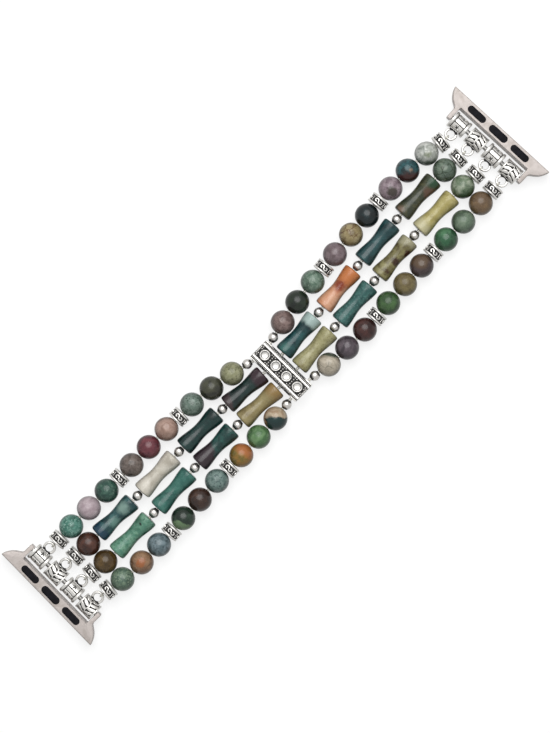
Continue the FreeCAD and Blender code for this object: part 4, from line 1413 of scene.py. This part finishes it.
@dataclass
class CentreBar:
    """The bar in the middle: double rails, notched flanges, domed studs and granulation."""

    half_length: float = 7.88
    half_width: float = 2.93
    rail_outer: float = 2.43
    rail_inner: float = 1.58
    field_height: float = 5.15
    rail_height: float = 5.69
    flange_height: float = 4.58
    stud_radius: float = 1.33
    stud_pitch: float = 3.68
    stud_top: float = 5.98
    cord_height: float = 3.0
    inner_hole: float = 2.55
    outer_hole: float = 6.5
    grain_radius: float = 0.23
    cord_hole: float = 0.5
    outer_scoop: float = 1.35
    inner_scoop: float = 2.1
    cut_reach: float = 4.0
    chamfer: float = 0.18

    def section(self) -> list[tuple[float, float, float]]:
        """Half of the bar's section as (across the rails, height, wear), from the foot to the field.

        Returns:
            The points.
        """
        outer, inner, top = self.rail_outer, self.rail_inner, self.rail_height
        middle = (outer + inner) / 2
        return [
            (self.half_width - 0.15, 0.02, 0.8), (self.half_width, 0.17, 0.9),
            (self.half_width, self.flange_height - 0.12, 1.0),
            (self.half_width - 0.1, self.flange_height, 1.0),
            (outer + 0.21, self.flange_height, 1.0), (outer + 0.17, self.flange_height - 0.35, 0.0),
            (outer, self.flange_height - 0.35, 0.0), (outer, top - 0.3, 0.3), (outer, top - 0.12, 1.0),
            (outer - 0.1, top, 1.0), (middle + 0.29, top, 1.0), (middle + 0.22, top - 0.16, 0.0),
            (middle + 0.15, top - 0.16, 0.0), (middle + 0.08, top, 1.0), (inner + 0.12, top, 1.0),
            (inner, top - 0.12, 1.0), (inner, top - 0.3, 0.2), (inner, self.field_height, 0.0),
        ]

    def body_form(self) -> Form:
        """The bar's body, as its section carried along the band's width, with rounded ends.

        Returns:
            The form.
        """
        right = self.section()
        outline = right + [(-x, z, wear) for x, z, wear in reversed(right)]
        stations = [
            (-self.half_length, self.chamfer), (self.chamfer - self.half_length, 0.0),
            (self.half_length - self.chamfer, 0.0), (self.half_length, self.chamfer),
        ]
        points = [
            (x * (1 - inset / 3), y, max(z - inset, 0.02)) for y, inset in stations for x, z, _ in outline
        ]
        wear_and_shade = [min(wear, 0.6) if inset else wear for _, inset in stations for _, _, wear in outline]
        return Form().add(points, closed_skin(len(stations), len(outline)), wear_and_shade)

    def cutters(self) -> list[Form]:
        """The four cord holes, and a scoop in each flange where a stone's end sits.

        Returns:
            The forms to cut out.
        """
        across = Matrix.Rotation(math.radians(90), 4, "Y")
        beyond = self.cut_reach
        found = []
        for place, scoop in ((self.outer_hole, self.outer_scoop), (self.inner_hole, self.inner_scoop)):
            for side in (-1, 1):
                middle = Matrix.Translation((0, side * place, self.cord_height)) @ across
                found.append(prism(circle(self.cord_hole, 40), -beyond, beyond).moved(middle))
                for end in (-1, 1):
                    low, high = sorted((end * (self.rail_outer + 0.24), end * beyond))
                    found.append(prism(circle(scoop, 40), low, high).moved(middle))
        return found

    def ornament_form(self) -> Form:
        """The studs, each in a fine wire ring, and the granulation round them.

        Returns:
            The form.
        """
        form, base = Form(), self.field_height - 0.02
        studs = [(place - 1.5) * self.stud_pitch for place in range(4)]
        for y in studs:
            form.join(boss((0, y, base), self.stud_radius, self.stud_top - base, 40, STUD))
        between = [(x, 0.0) for x in (-1.26, -0.66, 0.0, 0.66, 1.26)]
        between += [(x, y) for x in (-1.26, 1.26) for y in (-0.56, 0.56)]
        beyond = [(x, 1.6) for x in (-1.22, -0.66, 0.66, 1.22)]
        beyond += [(x, 2.06) for x in (-0.92, -0.31, 0.31, 0.92)]
        grains = [(x, (gap - 1) * self.stud_pitch + y) for gap in range(3) for x, y in between]
        grains += [(x, side * (studs[-1] + y)) for side in (-1, 1) for x, y in beyond]
        for x, y in grains:
            form.join(boss((x, y, base), self.grain_radius, 0.36))
        row = self.half_length - 0.26
        for y in (-row, row):
            for step in range(-3, 4):
                form.join(boss((step * 0.5, y, base - 0.12), 0.22, 0.3))
        return form

    def build(self) -> None:
        """Makes the bar's body and its ornament."""
        body = self.body_form().to_object("centre_bar_body")
        cut_out(body, self.cutters())
        bare_ends(body, self.half_length - 0.05)
        smooth_out(body.data, 30.0)
        silver = ANTIQUE.material()
        finish_piece(body, "bar", "antique_silver", silver, "centre_bar")
        ornament = self.ornament_form().to_object("centre_bar_studs_and_grains", 60.0)
        finish_piece(ornament, "bar", "antique_silver", silver, "centre_bar")


class BailPattern(Enum):
    """The two bails that take turns along each pin."""

    FLOWER = "flower"
    LEAF = "leaf"


@dataclass
class Bails:
    """Barrels on the pin, each with a round wire loop towards its strand."""

    length: float = 4.78
    rim_radius: float = 2.28
    flower_drum: float = 2.06
    flower_rim: float = 0.8
    leaf_drum: float = 2.16
    leaf_rim: float = 0.45
    bore: float = 0.65
    loop_radius: float = 1.3
    loop_wire: float = 0.34
    loop_middle: float = 3.25
    loop_reach: float = 4.55
    cord_height: float = 3.0

    def profile(self, drum: float, rim: float) -> Line:
        """The barrel's closed outline: two rounded rims, a drum in fine steps, and the bore.

        Args:
            drum: Radius of the drum.
            rim: Width of a rim.

        Returns:
            The outline as (radius, along).
        """
        half, roll = self.length / 2, (self.rim_radius - drum) * 0.9
        inner = [(self.bore + 0.2, half), (self.bore, half - 0.2)]
        outer = drum_line(half, rim, self.rim_radius - 0.02, roll, drum, 44, 0.04)
        return outer + inner + mirrored(inner)

    def flower_relief(self, drum: float, rim: float) -> Relief:
        """A framed plain panel with a sunk five-petalled flower near each end of it.

        Args:
            drum: Radius of the drum.
            rim: Width of a rim.

        Returns:
            What lathe takes as its relief.
        """
        edge = self.length / 2 - rim

        def relief(along: np.ndarray, angle: np.ndarray) -> tuple[np.ndarray, np.ndarray]:
            """Height and wear at each place.

            Args:
                along: Places along the piece.
                angle: Angles round it.

            Returns:
                The height and the wear.
            """
            sunk = crest(edge - 0.02 - np.abs(along), 0.14, 0.06)
            for lean in range(45, 360, 90):
                around = (np.mod(angle - math.radians(lean) + math.pi, math.tau) - math.pi) * drum
                for petal in range(5):
                    turn = math.tau * petal / 5 + 0.3
                    long = around * math.cos(turn) + along * math.sin(turn)
                    wide = along * math.cos(turn) - around * math.sin(turn)
                    sunk = np.maximum(sunk, crest(np.hypot((long - 0.36) / 2.6, wide), 0.1, 0.05))
                sunk = np.maximum(sunk, crest(np.abs(np.abs(around) - 1.0), 0.08, 0.07))
            on_drum = np.abs(along) < edge
            return np.where(on_drum, -0.12 * sunk, 0.0), np.where(on_drum, 1 - sunk, 1.0)

        return relief

    def leaf_relief(self, drum: float, rim: float) -> Relief:
        """Long leaves on both sides of a winding stem, on a blackened ground.

        Args:
            drum: Radius of the drum.
            rim: Width of a rim.

        Returns:
            What lathe takes as its relief.
        """
        edge = self.length / 2 - rim
        pitch = math.tau * drum / 11

        def relief(along: np.ndarray, angle: np.ndarray) -> tuple[np.ndarray, np.ndarray]:
            """Height and wear at each place.

            Args:
                along: Places along the piece.
                angle: Angles round it.

            Returns:
                The height and the wear.
            """
            lean = math.radians(62)
            raised = crest(np.abs(along - 0.16 * np.sin(angle * 6)), 0.12, 0.08)
            for side in (-1, 1):
                cell = np.mod(angle * drum - (0.0 if side > 0 else pitch / 2), pitch)
                dv = side * along - edge * 0.55
                for step in (-1, 0, 1):
                    du = cell - pitch / 2 - step * pitch
                    long = du * math.cos(lean) + dv * math.sin(lean)
                    wide = -du * math.sin(lean) + dv * math.cos(lean) + 0.14 * long ** 2
                    leaf = np.hypot(long / (edge * 0.6), wide / 0.44)
                    raised = np.maximum(raised, crest(leaf, 0.84, 0.2))
            on_drum = np.abs(along) < edge
            return np.where(on_drum, 0.12 * raised - 0.1, 0.0), np.where(on_drum, raised, 1.0)

        return relief

    def form(self, pattern: BailPattern) -> Form:
        """One bail: its barrel along Z, and its loop towards -X with its eye facing Y.

        Args:
            pattern: Which of the two bails.

        Returns:
            The form, with the pin's axis on Z.
        """
        if pattern is BailPattern.FLOWER:
            drum, rim = self.flower_drum, self.flower_rim
            relief = self.flower_relief(drum, rim)
        else:
            drum, rim = self.leaf_drum, self.leaf_rim
            relief = self.leaf_relief(drum, rim)
        form = lathe(self.profile(drum, rim), 190, relief)
        return form.join(self.loop_form())

    def loop_form(self) -> Form:
        """The round wire loop, blackened at its root, with painted shade on the inside of its wire.

        Returns:
            The form.
        """
        around, sides, root = 40, 14, -2.55
        points: list[Point] = []
        wear_and_shade: list[float] = []
        for u, v in circle(1.0, around):
            for inward, rise in circle(1.0, sides):
                reach = self.loop_radius + self.loop_wire * inward
                x = -self.loop_middle + reach * u
                points.append((x, self.loop_wire * rise, reach * v))
                # painted shade: the inside of the wire is darker (0.55); the root's 0.15 is patina where the
                # loop meets the barrel
                wear_and_shade.append(0.15 if x > root else 0.55 if inward < -0.6 else 1.0)
        return Form().add(points, skin(around, sides, looped=True), wear_and_shade)

    def build(self) -> None:
        """Makes the bails of both halves."""
        silver = ANTIQUE.material()
        for half in HALVES:
            seat = seat_of(half)
            rise = math.asin((self.cord_height - seat.translation.z / MM) / self.loop_reach)
            lean = Matrix.Rotation(rise, 4, "Y") @ Matrix.Rotation(math.radians(90), 4, "X")
            for pattern in BailPattern:
                form = self.form(pattern).moved(lean)
                node = f"{half}_{pattern.value}_bails"
                body = frame["nodes"][node]["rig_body"]
                for number, corners in enumerate(solids_of(node), 1):
                    local = seat.inverted() @ Vector((corners.max(0) + corners.min(0)) / 2)
                    piece = form.to_object(f"{half}_{pattern.value}_bail_{number}", 40.0)
                    spot = seat @ Matrix.Translation((0, local.y, 0))
                    finish_piece(piece, body, "antique_silver", silver, node, seat=spot)


def seat_of(half: str) -> Matrix:
    """Where a half's connector sits.

    Args:
        half: The half's name.

    Returns:
        A matrix with its origin in the middle of the pin, X towards the watch and Y along the pin.
    """
    low_high = solids_of(f"{half}_connector_pin")[0]
    middle = (low_high.max(0) + low_high.min(0)) / 2
    spreads, axes = np.linalg.eigh(np.cov((low_high - low_high.mean(0)).T))
    pin = Vector(axes[:, 2])
    pin.z = 0
    pin.normalize()
    outward = pin.cross(UP)
    if outward.dot(Vector(middle)) < 0:
        outward.negate()
        pin.negate()
    matrix = Matrix((outward, UP.cross(outward), UP)).transposed().to_4x4()
    matrix.translation = Vector(middle)
    return matrix


@dataclass
class Connector:
    """The metal connector with its pin, two grip pads and the latch button."""

    thickness: float = 4.0
    pin_height: float = 2.3
    wall: float = 2.9
    edge: float = 6.19
    tip: float = 15.64
    press: float = 0.82
    ears: float = 12.2
    slot: float = 11.1
    ear_reach: float = 0.74
    wing_depth: float = 3.8
    wing_bulge: float = 0.62
    hollow: float = 0.8
    pad_length: float = 5.5
    pad_width: float = 1.8
    pad_pitch: float = 7.1
    pad_inset: float = 1.6
    pad_proud: float = 0.15
    pad_sink: float = 0.5
    button_height: float = 1.4
    pin_radius: float = 0.6
    pin_half: float = 11.75
    well_gap: float = 0.12
    well_depth: float = 3.0
    rounding: float = 0.45

    def wing_line(self) -> Line:
        """The wing's curve from its tip to the hollow at the ear, on the +Y side.

        Returns:
            The curve.
        """
        tip, foot = Vector((self.edge, self.tip)), Vector((self.edge - self.wing_depth, self.ears))
        chord = foot - tip
        outward = Vector((chord.y, -chord.x)).normalized()
        if outward.x > 0:
            outward.negate()
        arc = [
            tip + chord * share + outward * (4 * share * (1 - share) * self.wing_bulge)
            for share in (step / 12 for step in range(13))
        ]
        approach = foot + (arc[-2] - foot).normalized() * self.hollow
        leave = foot - Vector((self.hollow, 0))
        line = [point for point in arc if (point - foot).length > self.hollow]
        line += [
            approach * (1 - share) ** 2 + foot * 2 * share * (1 - share) + leave * share ** 2
            for share in (step / 6 for step in range(7))
        ]
        return [tuple(point) for point in line]

    def outline(self) -> Line:
        """The connector's outline from above.

        Returns:
            The outline.
        """
        near = self.wing_line()
        near += [(-self.ear_reach, self.ears), (-self.ear_reach, self.slot), (self.wall, self.slot)]
        return near + mirrored(near)

    def frame_object(self, name: str) -> bpy.types.Object:
        """The connector's metal, with rounded edges, a sloped slot wall, pockets and pin holes.

        Args:
            name: The piece's name.

        Returns:
            The object.
        """
        low, high = -self.pin_height, self.thickness - self.pin_height
        body = prism(self.outline(), low, high).to_object(name, 30.0)
        work = bmesh.new()
        work.from_mesh(body.data)
        weights = work.edges.layers.float.new("bevel_weight_edge")
        for edge in work.edges:
            middle = (edge.verts[0].co + edge.verts[1].co) / 2 / MM
            run = (edge.verts[1].co - edge.verts[0].co).normalized()
            if abs(run.z) > 0.9:
                fold = edge.calc_face_angle(0.0)
                weights_here = 0.7 if fold > 0.6 and abs(middle.y) > self.slot + 0.2 else 0.0
            elif abs(middle.x - self.edge) < 0.02:
                weights_here = 1.0
            elif abs(middle.y) > self.ears - 0.1:
                weights_here = 0.8
            elif abs(middle.x - self.wall) < 0.02:
                weights_here = 0.25
            else:
                weights_here = 0.3
            edge[weights] = weights_here
        work.to_mesh(body.data)
        work.free()
        rounding = body.modifiers.new("rounding", "BEVEL")
        rounding.limit_method = "WEIGHT"
        rounding.width = self.rounding * MM
        rounding.segments = 4
        settle(body)
        cut_out(body, self.cutters(high))
        smooth_out(body.data, 32.0)
        return body

    def cutters(self, high: float) -> list[Form]:
        """What is cut from the connector: pad pockets, the latch well, pin holes and the slot's slope.

        Args:
            high: Height of its top.

        Returns:
            The forms to cut out.
        """
        found = []
        for place, gap, depth in (
            (-self.pad_pitch, 0.0, self.pad_sink), (self.pad_pitch, 0.0, self.pad_sink),
            (0.0, self.well_gap, self.well_depth),
        ):
            middle = (self.edge - self.pad_inset, place)
            outline = pill_outline(self.pad_length + gap, self.pad_width + gap, middle)
            found.append(prism(outline, high - depth, high + 1))
        side = [
            (self.wall - 1, high - 3.4), (self.wall + 0.02, high - 3.4), (self.wall + 0.3, high - 0.02),
            (self.wall + 0.34, high + 1), (self.wall - 1, high + 1),
        ]
        stand = Matrix(((1, 0, 0, 0), (0, 0, -1, 0), (0, 1, 0, 0), (0, 0, 0, 1)))
        reach = self.pin_half + 0.05
        slope, holes = prism(side, -self.slot, self.slot), prism(circle(self.pin_radius, 32), -reach, reach)
        return found + [slope.moved(stand), holes.moved(stand)]

    def pill_form(self, height: float) -> Form:
        """A pad or button: a pill with a rounded shoulder and a slightly crowned top.

        Args:
            height: From its foot to its top.

        Returns:
            The form.
        """
        top = self.thickness - self.pin_height + self.pad_proud
        levels = [(0.0, height), (0.0, 0.14), (0.05, 0.05), (0.14, 0.01), (0.5, 0.0)]
        middle = (self.edge - self.pad_inset, 0.0)
        points = [
            (x, y, top - depth) for inset, depth in levels
            for x, y in pill_outline(self.pad_length - 2 * inset, self.pad_width - 2 * inset, middle)
        ]
        return Form().add(points, closed_skin(len(levels), len(points) // len(levels)))

    def pin_form(self) -> Form:
        """The pin, with three shallow turned grooves between each two bails.

        Returns:
            The form.
        """
        plain, sides = self.pin_radius - 0.01, 28
        ends = [(plain, self.pin_half - 0.14), (self.pin_radius - 0.1, self.pin_half - 0.06)]
        line = mirrored(ends)
        for gap in (-5.65, 0.0, 5.65):
            for groove in (gap - 0.28, gap, gap + 0.28):
                line += [(plain, groove - 0.07), (plain - 0.05, groove), (plain, groove + 0.07)]
        points = [(x, along, z) for radius, along in line + ends for x, z in circle(radius, sides)]
        return Form().add(points, closed_skin(len(line + ends), sides))

    def build(self) -> None:
        """Makes both connectors and dresses the springs that stay from the frame."""
        pearl, steel, rubber, spring = (finish.material() for finish in (PEARL, PIN, PAD, SPRING))
        for half in HALVES:
            seat, body = seat_of(half), f"{half}_connector"
            shell = self.frame_object(f"{half}_connector_shell")
            finish_piece(shell, body, "pearl_metal", pearl, f"{half}_connector_frame", seat=seat)
            pin = self.pin_form().to_object(f"{half}_pin")
            finish_piece(pin, body, "pin_steel", steel, f"{half}_connector_pin", seat=seat)
            for number, side in enumerate((-1, 1), 1):
                pad = self.pill_form(self.pad_sink + self.pad_proud).to_object(f"{half}_grip_pad_{number}")
                spot = seat @ Matrix.Translation((0, side * self.pad_pitch * MM, 0))
                finish_piece(pad, body, "pad_rubber", rubber, f"{half}_grip_pads", seat=spot)
            button = self.pill_form(self.button_height + self.pad_proud).to_object(f"{half}_button")
            finish_piece(button, f"{half}_latch", "pad_rubber", rubber, f"{half}_latch_button", seat=seat)
            self.dress_spring(half, spring)

    def dress_spring(self, half: str, material: bpy.types.Material) -> None:
        """Gives a half's latch spring its finish and a mesh of its own.

        Args:
            half: The half's name.
            material: The spring's finish.
        """
        leaf = frame["nodes"][f"{half}_latch_spring"]
        leaf.data.materials.clear()
        leaf.data.materials.append(material)
        corners = [leaf.matrix_world @ vertex.co for vertex in leaf.data.vertices]
        foot = sum(corners, Vector()) / len(corners)
        foot.z = min(corner.z for corner in corners)
        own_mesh(leaf)
        log.info("%s stays from the frame with %s", leaf.name, material.name)


Run = tuple[Vector, Vector]


@dataclass
class Cords:
    """The clear elastic on four strands, cut where the band bends and where it stretches."""

    radius: float = 0.4
    loop_radius: float = 0.22
    entry: float = 0.9
    stretch_start: float = 4.4
    stretch_end: float = 2.7
    exit: float = 0.6
    wire_gap: float = 0.65
    turn_radius: float = 0.59
    turn_spread: float = 0.24
    turn_inside: float = 0.6

    def runs(self, node: str) -> list[Run]:
        """The two ends of each cord in a node, from the bar outwards, strands from +Y to -Y.

        Args:
            node: The CAD node.

        Returns:
            The start and the end of each cord in metres.
        """
        found = []
        for corners in solids_of(node):
            along = Vector((1 if corners[:, 0].mean() > 0 else -1, 0, 0))
            if node == "centre_bar_cords":
                along = Vector((1, 0, 0))
            places = corners @ np.array(along)
            low = corners[places < places.min() + 4e-4].mean(0)
            high = corners[places > places.max() - 4e-4].mean(0)
            found.append((Vector(low), Vector(high)))
        return sorted(found, key=lambda run: -(run[0].y + run[1].y))

    def string(
        self, name: str, lines: list[list[Vector]], body: str, material: bpy.types.Material, node: str
    ) -> bpy.types.Object:
        """Cord pieces of all four strands as one piece.

        Args:
            name: The piece's name.
            lines: For each strand, the points of its middle line in metres.
            body: The CAD body that it rides on, or an empty text for a piece that spans two bodies and is
                tied to neither.
            material: Its finish.
            node: The CAD node that it stands for.

        Returns:
            The piece.
        """
        form = Form()
        for line in lines:
            form.join(tube([point / MM for point in line], self.radius))
        return finish_piece(form.to_object(name, 60.0), body, "elastic_cord", material, node)

    def build(self) -> None:
        """Threads the band."""
        material = CORD.material()
        bar_runs = self.runs("centre_bar_cords")
        inside = [[a.lerp(b, 0.08), b.lerp(a, 0.08)] for a, b in bar_runs]
        self.string("cord_in_bar", inside, "bar", material, "centre_bar_cords")
        for half in HALVES:
            self.thread_half(half, bar_runs, material)

    def thread_half(self, half: str, bar_runs: list[Run], material: bpy.types.Material) -> None:
        """Threads one half from the bar to the bails.

        Args:
            half: The half's name.
            bar_runs: The cords in the bar.
            material: The cord's finish.
        """
        rows = ("row_1", "row_2", "row_3", "row_4", "end_row")
        bodies = [f"{half}_{row}" for row in rows]
        hinges = {joint["child"]: Vector(joint["pos_m"]) for joint in frame["joints"] if "pos_m" in joint}
        outward = seat_of(half).col[0].xyz
        previous = [(a, b) if half == "noon" else (b, a) for a, b in bar_runs]
        for index, (row, body) in enumerate(zip(rows, bodies)):
            line, node = hinges[body], f"{body}_cords"
            runs = self.runs(node)
            joins = []
            for (_, before), (start, end) in zip(previous, runs):
                back = before + (line - before).project(outward) - outward * self.exit * MM
                inside = start + (end - start).normalized() * self.entry * MM
                joins.append([back, back.lerp(start, 0.5), start, inside])
            piece = self.string(f"{half}_cord_into_{row}", joins, "", material, node)
            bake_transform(piece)
            stretches = index < 3
            leave = (self.stretch_start if stretches else self.exit) * MM
            straight, pulls = [], []
            far = hinges[bodies[index + 1]] if index < 4 else None
            for start, end in runs:
                along = (end - start).normalized()
                inside = start + along * self.entry * MM
                if far is None:
                    straight.append([inside, end - along * 0.3 * MM])
                    continue
                edge = end + (far - end).project(outward)
                stop, bend = edge - outward * leave, edge - outward * self.exit * MM
                straight.append([inside, stop])
                pulls.append([stop, stop.lerp(bend, 0.5), bend])
            self.string(f"{half}_cord_in_{row}", straight, body, material, node)
            if stretches:
                pull = self.string(f"{half}_cord_pull_{index + 1}", pulls, "", material, node)
                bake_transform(pull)
            previous = runs
        self.loops(half, runs, outward, material)

    def loops(self, half: str, runs: list[Run], outward: Vector, material: bpy.types.Material) -> None:
        """Lays the cord round the wire of each bail's loop and back into its ring.

        Args:
            half: The half's name.
            runs: Its last cords.
            outward: The direction along its strands.
            material: The cord's finish.
        """
        form = Form()
        for _, end in runs:
            bail_wire = end + outward * self.wire_gap * MM
            line = []
            for step in range(15):
                turn = math.radians(-150 + 300 * step / 14)
                around = outward * math.cos(turn) + UP * math.sin(turn)
                line.append(bail_wire / MM + around * self.turn_radius)
            inside, spread = end / MM - outward * self.turn_inside, UP * self.turn_spread
            line = [inside - spread] + line + [inside + spread]
            form.join(tube(line, self.loop_radius, 8))
        piece = form.to_object(f"{half}_cord_loops", 60.0)
        finish_piece(piece, f"{half}_end_row", "elastic_cord", material, f"{half}_end_row_cords")

def seen_outright(w: Wiring) -> Socket:
    """1 for what the camera, a reflection or clear cord shows, and 0 for the light on the band.

    Args:
        w: The wiring of a material or of the sky.

    Returns:
        The number.
    """
    path = w.node("LightPath").outputs
    seen = w.calculate("MAXIMUM", path["Is Camera Ray"], path["Is Glossy Ray"])
    return w.calculate("MAXIMUM", seen, path["Is Transmission Ray"])
@dataclass
class Studio:
    """A pale floor, one broad soft lamp, an even sky and the camera over the band."""

    picture: tuple[int, int] = (550, 733)
    scale_mm: float = 0.245
    bar_px: tuple[float, float] = (281.0, 371.0)
    band_angle: float = 45.5
    lens: float = 135.0
    sensor: float = 36.0
    lamp_height: float = 0.8
    lamp_lean: float = 0.37
    lamp_size: float = 0.9
    lamp_power: float = 9.1
    sky: float = 0.15
    floor_tint: str = "8c8c8c"
    floor_glow: float = 0.78

    def camera(self) -> None:
        """Puts the camera straight over the band, turned so that the band runs up to the right."""
        wide, high = self.picture
        right = (wide / 2 - self.bar_px[0]) * self.scale_mm
        up = (self.bar_px[1] - high / 2) * self.scale_mm
        angle = math.radians(self.band_angle)
        middle = Vector((
            right * math.cos(angle) + up * math.sin(angle),
            up * math.cos(angle) - right * math.sin(angle),
            3.0,
        ))
        data = bpy.data.cameras.new("overhead")
        data.lens, data.sensor_width = self.lens, self.sensor
        distance = high * self.scale_mm * self.lens / self.sensor
        data.clip_start, data.clip_end = 0.01, 20.0
        camera = bpy.data.objects.new("overhead", data)
        camera.location = (middle + UP * distance) * MM
        camera.rotation_euler = (0, 0, -angle)
        bpy.context.scene.collection.objects.link(camera)
        bpy.context.scene.camera = camera

    def floor(self) -> None:
        """Lays the floor, which shows white where no shadow falls."""
        reach, low = 900.0, -0.1
        corners = [(-reach, -reach, low), (reach, -reach, low), (reach, reach, low), (-reach, reach, low)]
        floor = Form().add(corners, [(0, 1, 2, 3)]).to_object("floor")
        material, w, shader, _ = new_material("pale_floor")
        w.feed(shader, {
            "Base Color": linear(self.floor_tint), "Roughness": 0.7, "Specular IOR Level": 0.0,
            "Emission Color": WHITE,
            "Emission Strength": w.calculate("MULTIPLY", seen_outright(w), self.floor_glow),
        })
        floor.data.materials.append(material)

    def light(self) -> None:
        """Hangs the lamp and sets the sky."""
        data = bpy.data.lights.new("soft_lamp", "AREA")
        data.shape, data.size, data.energy = "DISK", self.lamp_size, self.lamp_power
        lamp = bpy.data.objects.new("soft_lamp", data)
        angle = math.radians(self.band_angle)
        aside, along = self.lamp_lean * math.sin(angle), self.lamp_lean * math.cos(angle)
        lamp.location = (aside, along, self.lamp_height)
        lamp.rotation_euler = (-lamp.location).to_track_quat("-Z", "Y").to_euler()
        lamp.visible_camera = False
        bpy.context.scene.collection.objects.link(lamp)
        world = bpy.data.worlds.new("even_sky")
        bpy.context.scene.world = world
        world.use_nodes = True
        world.node_tree.nodes.clear()
        w = Wiring(world.node_tree)
        strength = w.calculate("MULTIPLY_ADD", seen_outright(w), 1.0 - self.sky, self.sky)
        sky = w.node("Background", {"Color": WHITE, "Strength": strength})
        w.node("OutputWorld", {0: sky.outputs[0]})

    def build(self) -> None:
        """Sets up the whole studio."""
        self.camera()
        self.floor()
        self.light()
        bpy.context.scene.view_settings.view_transform = "Standard"


def main() -> None:
    """Builds the studio and every part of the band, in order."""
    logging.basicConfig(level=logging.INFO, format="%(message)s")
    parts = (Studio(), Stones(), SilverRounds(), SpacerRings(), CentreBar(), Bails(), Connector(), Cords())
    for part in parts:
        log.info("building %s", type(part).__name__)
        part.build()


if __name__ == "__main__":
    main()
